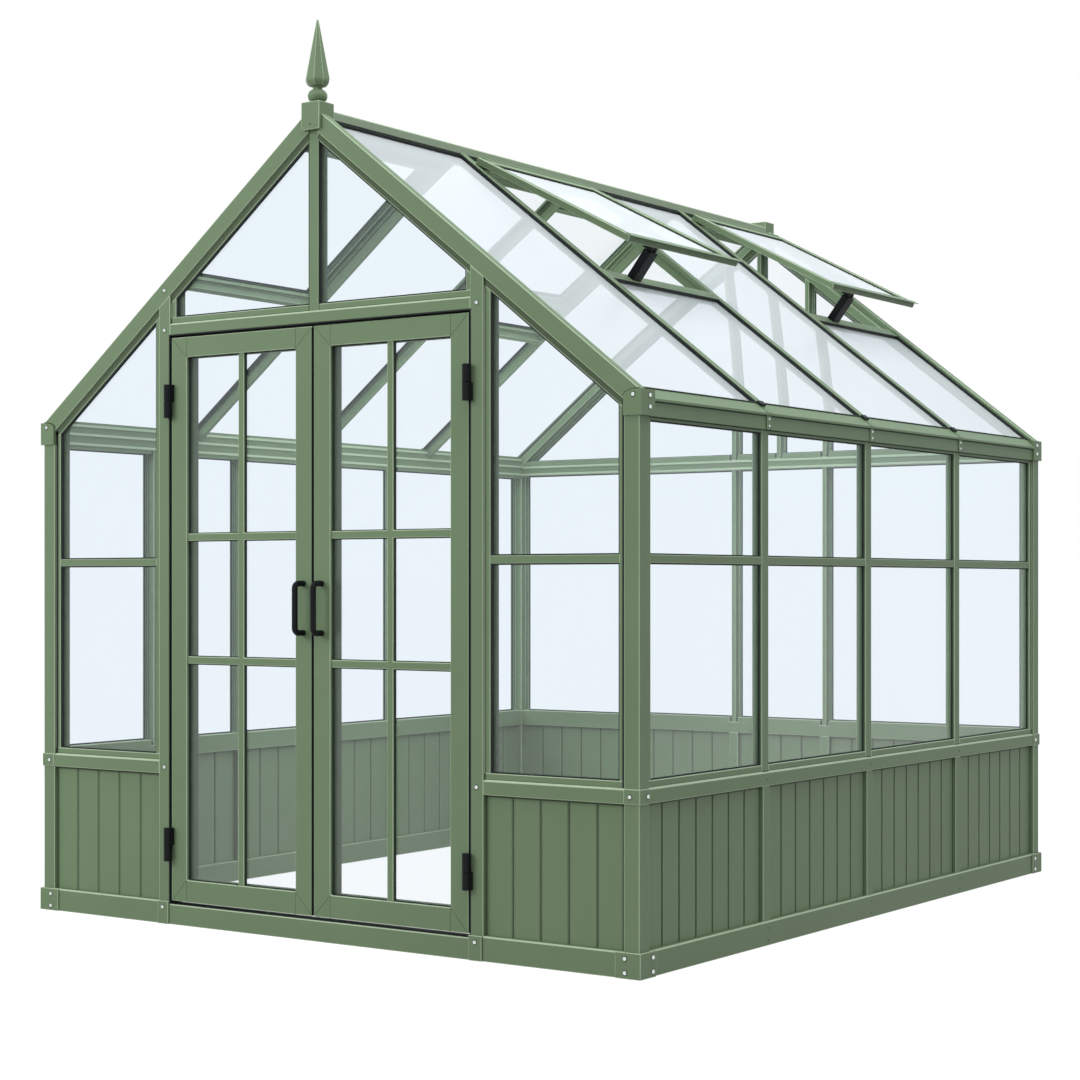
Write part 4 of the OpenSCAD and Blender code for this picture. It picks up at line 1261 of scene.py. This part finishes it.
class GREENHOUSE_OT_joint_lines(bpy.types.Operator):
    """Draw the painted shadows and highlights of the boards, beads, posts, rafters, eaves and ridge, and
    fit the returns behind the panes
    """

    bl_idname = "greenhouse.joint_lines"
    bl_label = "Draw Joint Lines"

    def execute(self, context):
        finish = context.scene.greenhouse_finish
        trim = context.scene.greenhouse_trim
        spans = self.panel_spans()
        self.line_boards(finish, trim, spans)
        self.line_panels(finish, spans)
        self.line_beads(finish, trim)
        self.line_rafters(finish)
        self.line_eaves(finish)
        self.seal_ridge(finish)
        self.rib_eaves(finish, trim)
        self.line_returns(finish)
        return {"FINISHED"}

    def panel_spans(self):
        """The clear spans of the boarded panels along each wall."""
        inner = DOOR_HALF + DOOR_POST
        outer = HALF_WIDTH - POST
        spans = {wall: wall_spans(wall, POST / 2, STUD / 2) for wall in WALL_BARS}
        spans["front"] = [(-outer, -inner), (inner, outer)]
        return spans

    def line_boards(self, finish, trim, spans):
        """Painted shade in each groove between boards, and a painted highlight along the edge beside it."""
        grooves = bmesh.new()
        edges = bmesh.new()
        near = PANEL_DEPTH + GROOVE_SET
        far = PANEL_DEPTH + PANEL_THICK - GROOVE_SET
        highlight_near = PANEL_DEPTH - LINE_PROUD
        highlight_far = PANEL_DEPTH + LINE_DEEP
        beside = 0.5 * trim.groove_width + BOARD_HIGHLIGHT_GAP
        for wall, panels in spans.items():
            place = wall_place(wall)
            for low, high in panels:
                boards = round((high - low) / BOARD)
                for index in range(1, boards):
                    along = low + (high - low) * index / boards
                    ends = ((along, BASE_TOP), (along, CILL_LOW))
                    add_strip(grooves, *ends, trim.groove_width, near, far, place)
                    ends = ((along + beside, BASE_TOP), (along + beside, CILL_LOW - CILL_SHADOW))
                    add_strip(edges, *ends, BOARD_HIGHLIGHT, highlight_near, highlight_far, place)
        make_piece("groove_shadows", grooves, seam_and_shade_material(finish))
        make_piece("board_highlights", edges, ridge_light_material(finish))

    def line_panels(self, finish, spans):
        """The shadow around a panel, at both ends and under the cill."""
        near = PANEL_DEPTH - SHADOW_PROUD
        far = PANEL_DEPTH + LINE_DEEP
        mesh = bmesh.new()
        for wall, panels in spans.items():
            right_shadow = FRONT_SHADOW if wall == "front" else PANEL_SHADOW
            for low, high in panels:
                outlines = (
                    rectangle(low, low + PANEL_SHADOW, BASE_TOP, CILL_LOW),
                    rectangle(high - right_shadow, high, BASE_TOP, CILL_LOW),
                    rectangle(low, high, CILL_LOW - CILL_SHADOW, CILL_LOW),
                )
                for outline in outlines:
                    add_slab(mesh, outline, near, far, wall_place(wall))
        make_piece("panel_shadows", mesh, painted_shade_material(finish))

    def line_beads(self, finish, trim):
        """Painted shadow in the joint around the beads of the front and side walls."""
        inner = DOOR_HALF + DOOR_POST
        outer = HALF_WIDTH - POST
        end = HALF_LENGTH - POST
        near = BEAD_DEPTH - LINE_PROUD
        far = BEAD_DEPTH + LINE_DEEP
        mesh = bmesh.new()
        for side in BOTH_SIDES:
            bay = gable_outline(side * inner, side * outer, CILL_TOP, RAFTER)
            top = gable_outline(side * KING_POST / 2, side * DOOR_HALF, HEAD_TOP, RAFTER)
            for outline in (bay, top):
                add_ring(mesh, outline, trim.bead_shadow_width, near, far, wall_place("front"))
        for wall in SIDE_WALLS:
            outline = rectangle(-end, end, CILL_TOP, EAVES_HEIGHT)
            add_ring(mesh, outline, trim.bead_shadow_width, near, far, wall_place(wall))
        make_piece("bead_shadows", mesh, seam_and_shade_material(finish))

    def line_rafters(self, finish):
        """Painted shadow beside each corner post, as a dark rubber strip, and painted shade on the bead
        under each front rafter.
        """
        inner = DOOR_HALF + DOOR_POST
        outer = HALF_WIDTH - POST
        near = BEAD_DEPTH - LINE_PROUD - OVER_LINE
        far = BEAD_DEPTH + LINE_DEEP
        drop = RAFTER + RAFTER_SHADE_DROP
        joints = bmesh.new()
        recesses = bmesh.new()
        for side in BOTH_SIDES:
            beside = side * (outer - POST_SHADOW / 2)
            ends = ((beside, CILL_TOP), (beside, roof_height(outer, RAFTER)))
            add_strip(joints, *ends, POST_SHADOW, near, far, wall_place("front"))
            for start, end in ((KING_POST / 2, DOOR_HALF), (inner, outer)):
                ends = ((side * start, roof_height(start, drop)), (side * end, roof_height(end, drop)))
                add_strip(recesses, *ends, RAFTER_SHADE, near, far, wall_place("front"))
        make_piece("post_shadows", joints, rubber_material(finish))
        make_piece("rafter_shades", recesses, painted_shade_material(finish))

    def line_eaves(self, finish):
        """The shadow along the eaves, beside the clips and around the plates on the gables."""
        end = HALF_LENGTH - EAVES_BRACKET
        far = LINE_DEEP - FASCIA_OUT
        mesh = bmesh.new()
        for wall in SIDE_WALLS:
            place = wall_place(wall)
            outline = rectangle(-end, end, FASCIA_TOP - FASCIA_SHADOW, FASCIA_TOP)
            add_slab(mesh, outline, -FASCIA_OUT - LINE_PROUD, far, place)
            for along in WALL_BARS[wall]:
                for side in BOTH_SIDES:
                    beside = along + side * (CLIP_PLATE / 2 + CLIP_LINE_GAP)
                    ends = ((beside, EAVES_HEIGHT), (beside, FASCIA_TOP))
                    add_strip(mesh, *ends, CLIP_LINE, -FASCIA_OUT - SHADOW_PROUD, far, place)
        for wall in GABLES:
            for side in BOTH_SIDES:
                arc = self.plate_arc(side)
                for start, stop in zip(arc, arc[1:]):
                    add_strip(mesh, start, stop, PLATE_LINE, -SHADOW_PROUD, LINE_DEEP, wall_place(wall))
        make_piece("eaves_lines", mesh, seam_and_shade_material(finish))

    def plate_arc(self, side):
        """The rounded edge of the plate where a rafter meets the eaves."""
        arc = []
        for step in range(PLATE_ARC_STEPS + 1):
            turn = math.radians(90 * step / PLATE_ARC_STEPS)
            across = HALF_WIDTH - (POST + PLATE_LINE_OUT) * math.cos(turn)
            rise = PLATE_SIDE + (PLATE_TOP + PLATE_LINE_UP - PLATE_SIDE) * math.sin(turn)
            arc.append((side * across, EAVES_HEIGHT + rise))
        return arc

    def seal_ridge(self, finish):
        """Two rubber seals between the ridge and the roof glass, which also stand in for the shadow under
        the ridge as painted shade.
        """
        end = HALF_LENGTH - APEX_END
        near = RIDGE_HALF - RIDGE_SEAL_NEAR
        far = RIDGE_HALF - RIDGE_SEAL_FAR
        glass = roof_height(near, ROOF_GLASS)
        mesh = bmesh.new()
        for side in BOTH_SIDES:
            add_slab(mesh, rectangle(side * far, side * near, glass, RIDGE_LOW), -end, end, ridge_place)
        make_piece("ridge_seals", mesh, rubber_material(finish))

    def rib_eaves(self, finish, trim):
        """Ribs along the inside of the eaves beams and of the tie rail, in the lighter paint of the painted
        highlight.
        """
        side_end = HALF_LENGTH - POST - EAVES_RIB_GAP
        back_end = HALF_WIDTH - POST - TIE_RIB_GAP
        ribs = [(wall, side_end, EAVES_HEIGHT + rise) for wall in SIDE_WALLS for rise in EAVES_RIBS]
        ribs += [("back", back_end, TIE_LOW + rise) for rise in TIE_RIBS]
        mesh = bmesh.new()
        for wall, end, low in ribs:
            outline = rectangle(-end, end, low, low + trim.rib_width)
            add_slab(mesh, outline, POST - LINE_DEEP, POST + trim.rib_proud, wall_place(wall))
        make_piece("eaves_ribs", mesh, edge_highlight_material(finish))

    def line_returns(self, finish):
        """Returns of the frame behind the upright edges of the front panes and around the door panes, in
        the darker paint of the painted shade.
        """
        shade = painted_shade_material(finish)
        mesh = bmesh.new()
        for outline in front_openings():
            for edge, inward in ((min(outline)[0], 1), (max(outline)[0], -1)):
                heights = [height for across, height in outline if across == edge]
                if len(heights) == 2:
                    sides = sorted((edge - inward * RETURN_TUCK, edge + inward * RETURN_PROUD))
                    tuck = RAFTER_TUCK if max(heights) > EAVES_HEIGHT else 0.0
                    plate = rectangle(*sides, min(heights), max(heights) + tuck)
                    add_slab(mesh, plate, GLASS_BACK, POST, wall_place("front"))
        make_piece("front_returns", mesh, shade)
        across = (STILE - RETURN_TUCK, LEAF_WIDTH - STILE + RETURN_TUCK)
        outline = rectangle(*across, BOTTOM_RAIL - RETURN_TUCK, LEAF_HEIGHT - TOP_RAIL + RETURN_TUCK)
        for body, side in LEAVES:
            mesh = bmesh.new()
            add_ring(mesh, outline, RETURN_TUCK + RETURN_PROUD, LEAF_BACK, LEAF_RETURN, leaf_place(side))
            make_piece(body + "_returns", mesh, shade, body=body)


class GREENHOUSE_OT_door_trim(bpy.types.Operator):
    """Draw the joints of the door frames, seal their edges and sleeve their hinges"""

    bl_idname = "greenhouse.door_trim"
    bl_label = "Trim Doors"

    def execute(self, context):
        finish = context.scene.greenhouse_finish
        trim = context.scene.greenhouse_trim
        self.line_leaves(finish, trim)
        self.seal_leaves(finish, trim)
        self.seal_doorway(finish, trim)
        self.sleeve_hinges(finish, trim)
        return {"FINISHED"}

    def line_leaves(self, finish, trim):
        """Mitres and butt joints at the four corners of each leaf."""
        high = LEAF_HEIGHT - TOP_RAIL
        for body, side in LEAVES:
            place = leaf_place(side)
            mesh = bmesh.new()
            for outer, inner in ((MITRE_IN, STILE), (LEAF_WIDTH - MITRE_IN, LEAF_WIDTH - STILE)):
                lines = (
                    ((inner, LEAF_HEIGHT), (inner, high)),
                    ((inner, 0.0), (inner, BOTTOM_RAIL)),
                    ((outer, LEAF_HEIGHT - MITRE_IN), (inner, high)),
                    ((outer, MITRE_IN), (inner, BOTTOM_RAIL)),
                )
                for start, end in lines:
                    add_strip(mesh, start, end, trim.seam_width, -trim.seam_proud, LINE_DEEP, place)
            make_piece(body + "_seams", mesh, seam_and_shade_material(finish), body=body)

    def seal_leaves(self, finish, trim):
        """Rubber seals on the upright edges of the leaves, which also stand in for the shadow in the door
        gaps, with a lip of painted shadow where the leaves meet.
        """
        thick = trim.seal_thick
        ends = (SEAL_SHORT, LEAF_HEIGHT - SEAL_SHORT)
        back = LEAF_HIGH.y - LEAF_LOW.y - SEAL_BACK
        lip = rectangle(LEAF_WIDTH - LEAF_LIP * trim.lip_width, LEAF_WIDTH, *ends)
        for body, side in LEAVES:
            place = leaf_place(side)
            mesh = bmesh.new()
            for edge in (-thick, LEAF_WIDTH):
                add_slab(mesh, rectangle(edge, edge + thick, *ends), SEAL_NEAR, back, place)
            add_slab(mesh, lip, -trim.lip_proud, LIP_DEEP, place)
            make_piece(body + "_seals", mesh, rubber_material(finish), body)

    def seal_doorway(self, finish, trim):
        """Rubber seals around the doorway, which also stand in for the shadow in the door gaps, with lips
        of painted shadow on the faces of the posts and the header.
        """
        thick = trim.seal_thick
        place = wall_place("front")
        lip = DOOR_HALF + trim.lip_width
        lip_top = HEAD_LOW + trim.lip_width
        seals = [rectangle(-DOOR_HALF, DOOR_HALF, HEAD_LOW - thick, HEAD_LOW)]
        lips = [rectangle(-DOOR_HALF, DOOR_HALF, HEAD_LOW, lip_top)]
        for side in BOTH_SIDES:
            ends = (THRESHOLD + thick, HEAD_LOW - thick)
            seals.append(rectangle(side * (DOOR_HALF - thick), side * DOOR_HALF, *ends))
            lips.append(rectangle(side * DOOR_HALF, side * lip, THRESHOLD, lip_top))
        mesh = bmesh.new()
        sill = rectangle(-DOOR_HALF, DOOR_HALF, THRESHOLD, THRESHOLD + thick)
        add_slab(mesh, sill, SEAL_NEAR - BASE_PROUD, SEAL_DEEP, place)
        for outline in seals:
            add_slab(mesh, outline, LIP_DEEP, SEAL_DEEP, place)
        for outline in lips:
            add_slab(mesh, outline, -trim.lip_proud, LIP_DEEP, place)
        make_piece("doorway_seals", mesh, rubber_material(finish))

    def sleeve_hinges(self, finish, trim):
        """A round sleeve on each half of a hinge, the upper ones on the leaves."""
        black = black_material(finish)
        circle = []
        for index in range(SLEEVE_SIDES):
            turn = math.tau * index / SLEEVE_SIDES
            circle.append((trim.sleeve_radius * math.cos(turn), trim.sleeve_radius * math.sin(turn)))
        post_mesh = bmesh.new()
        for body, side in LEAVES:
            leaf_mesh = bmesh.new()
            for middle in (HINGE_LOW, LEAF_HIGH.z - HINGE_DROP):
                place = axis_place(Vector((side * HINGE_ACROSS, -HALF_LENGTH - HINGE_OUT, middle)))
                add_ring(leaf_mesh, circle, SLEEVE_THICK, SLEEVE_GAP, HINGE_HALF, place)
                add_ring(post_mesh, circle, SLEEVE_THICK, -HINGE_HALF, -SLEEVE_GAP, place)
            soften(make_piece(body + "_hinge_sleeves", leaf_mesh, black, body), SLEEVE_ROUND)
        soften(make_piece("post_hinge_sleeves", post_mesh, black), SLEEVE_ROUND)


class GREENHOUSE_OT_roof_trim(bpy.types.Operator):
    """Cap the roof bars, joint the eaves, edge the vents and cover their openers"""

    bl_idname = "greenhouse.roof_trim"
    bl_label = "Trim Roof"

    def execute(self, context):
        finish = context.scene.greenhouse_finish
        self.cap_bars(finish)
        self.joint_eaves(finish, context.scene.greenhouse_trim)
        self.edge_vents(finish)
        self.house_openers(finish)
        return {"FINISHED"}

    def cap_bars(self, finish):
        """A dark cap on the lower end of each roof bar."""
        half = ROOF_CAP / 2
        mesh = bmesh.new()
        for side in BOTH_SIDES:
            for along in SIDE_MULLIONS:
                outline = rectangle(BAND_UP - CAP_DOWN, BAND_UP + CAP_UP, along - half, along + half)
                add_slab(mesh, outline, CAP_LOW - CAP_PROUD, BAND_DROP, slope_place(side))
        soften(make_piece("roof_bar_caps", mesh, rubber_material(finish)), TRIM_ROUND)

    def joint_eaves(self, finish, trim):
        """A clip plate on the eaves at each bar, with a joint strip on the sloping band above it."""
        nose = (-NOSE_OUT - BAND_DROP * math.sin(PITCH)) / math.cos(PITCH)
        strip_top = BAND_UP - STRIP_SHORT
        half = CLIP_PLATE / 2
        strips = bmesh.new()
        lines = bmesh.new()
        plates = bmesh.new()
        for side, wall in zip(BOTH_SIDES, SIDE_WALLS):
            place = slope_place(side)
            for along in WALL_BARS[wall]:
                ends = (along - half, along + half)
                plate = rectangle(*ends, EAVES_HEIGHT + PLATE_RISE, FASCIA_TOP - PLATE_CLEAR)
                add_slab(plates, plate, -CLIP_PROUD - PLATE_THICK, -FASCIA_OUT, wall_place(wall))
                strip = rectangle(nose, strip_top, *ends)
                add_slab(strips, strip, BAND_DROP - STRIP_PROUD, BAND_DROP + LINE_DEEP, place)
                for spot in ends:
                    line = ((nose, spot), (strip_top, spot))
                    add_strip(lines, *line, trim.seam_width, BAND_DROP - STRIP_LINE_PROUD, BAND_DROP, place)
        make_piece("eaves_joint_strips", strips, paint_material(finish))
        make_piece("eaves_joint_lines", lines, seam_and_shade_material(finish))
        piece = make_piece("eaves_clip_plates", plates, paint_material(finish))
        # The second slot paints a highlight on the plates' rounded edges
        piece.data.materials.append(edge_highlight_material(finish))
        soften(piece, TRIM_ROUND, highlight_slot=1)

    def edge_vents(self, finish):
        """A drip along the lower edge of each vent, and a hinge rod along its upper edge."""
        paint = paint_material(finish)
        face = CAP_LOW - VENT_THICK
        drips = bmesh.new()
        rods = bmesh.new()
        for side, bays, swing in VENTS:
            place = slope_place(side, swing)
            for index in bays:
                outline = vent_outline(index, 0.0)
                bottom, low = outline[0]
                top, high = outline[2]
                drip = rectangle(bottom - DRIP_OUT, bottom + DRIP_LAP, low, high + DRIP_OUT)
                add_slab(drips, drip, face - DRIP_THICK, face, place)
                first = place(top - ROD_IN, low + ROD_SHORT, face + ROD_SUNK)
                last = place(top - ROD_IN, high - ROD_SHORT, face + ROD_SUNK)
                span = (last - first).length
                profile = ((0.0, 0.0), (ROD_RADIUS, 0.0), (ROD_RADIUS, span), (0.0, span))
                add_turned(rods, profile, first, (last - first).normalized(), ROD_SIDES)
        soften(make_piece("vent_drips", drips, paint), DRIP_ROUND)
        make_piece("vent_hinge_rods", rods, paint)

    def house_openers(self, finish):
        """A black cover on the opener of each open vent."""
        up = (SILL_MIDDLE - HOUSING_HALF_UP, SILL_MIDDLE + HOUSING_HALF_UP)
        mesh = bmesh.new()
        for index in OPEN_BAYS:
            along = vent_outline(index, 0.0)[0][1] + OPENER_ALONG
            outline = rectangle(*up, along - HOUSING_HALF_ALONG, along + HOUSING_HALF_ALONG)
            add_slab(mesh, outline, CAP_LOW - HOUSING_TALL, CAP_LOW - HOUSING_LIFT, slope_place(1))
        soften(make_piece("vent_opener_housings", mesh, black_material(finish)), HOUSING_ROUND)


class GREENHOUSE_PT_panel(bpy.types.Panel):
    """Lists the greenhouse's settings and steps in the sidebar"""

    bl_idname = "GREENHOUSE_PT_panel"
    bl_label = "Greenhouse"
    bl_space_type = "VIEW_3D"
    bl_region_type = "UI"
    bl_category = "Greenhouse"

    def draw(self, context):
        for group in (
            context.scene.greenhouse_finish,
            context.scene.greenhouse_trim,
            context.scene.greenhouse_studio,
        ):
            box = self.layout.box()
            for name in group.bl_rna.properties.keys():
                if name not in ("rna_type", "name"):
                    box.prop(group, name)
        for step in STEPS:
            self.layout.operator(step.bl_idname)


STEPS = (
    GREENHOUSE_OT_studio,
    GREENHOUSE_OT_paint_frame,
    GREENHOUSE_OT_glaze,
    GREENHOUSE_OT_blacken_fittings,
    GREENHOUSE_OT_screws,
    GREENHOUSE_OT_gaskets,
    GREENHOUSE_OT_joint_lines,
    GREENHOUSE_OT_door_trim,
    GREENHOUSE_OT_roof_trim,
)
SETTINGS = {
    "greenhouse_finish": FinishSettings,
    "greenhouse_trim": TrimSettings,
    "greenhouse_studio": StudioSettings,
}


def register():
    for name, group in SETTINGS.items():
        bpy.utils.register_class(group)
        setattr(bpy.types.Scene, name, PointerProperty(type=group))
    for step in (*STEPS, GREENHOUSE_PT_panel):
        bpy.utils.register_class(step)


def unregister():
    for step in (GREENHOUSE_PT_panel, *reversed(STEPS)):
        bpy.utils.unregister_class(step)
    for name, group in SETTINGS.items():
        delattr(bpy.types.Scene, name)
        bpy.utils.unregister_class(group)


def main():
    register()
    steps = bpy.ops.greenhouse
    steps.studio()
    steps.paint_frame()
    steps.glaze()
    steps.blacken_fittings()
    steps.screws()
    steps.gaskets()
    steps.joint_lines()
    steps.door_trim()
    steps.roof_trim()


if __name__ == "__main__":
    main()
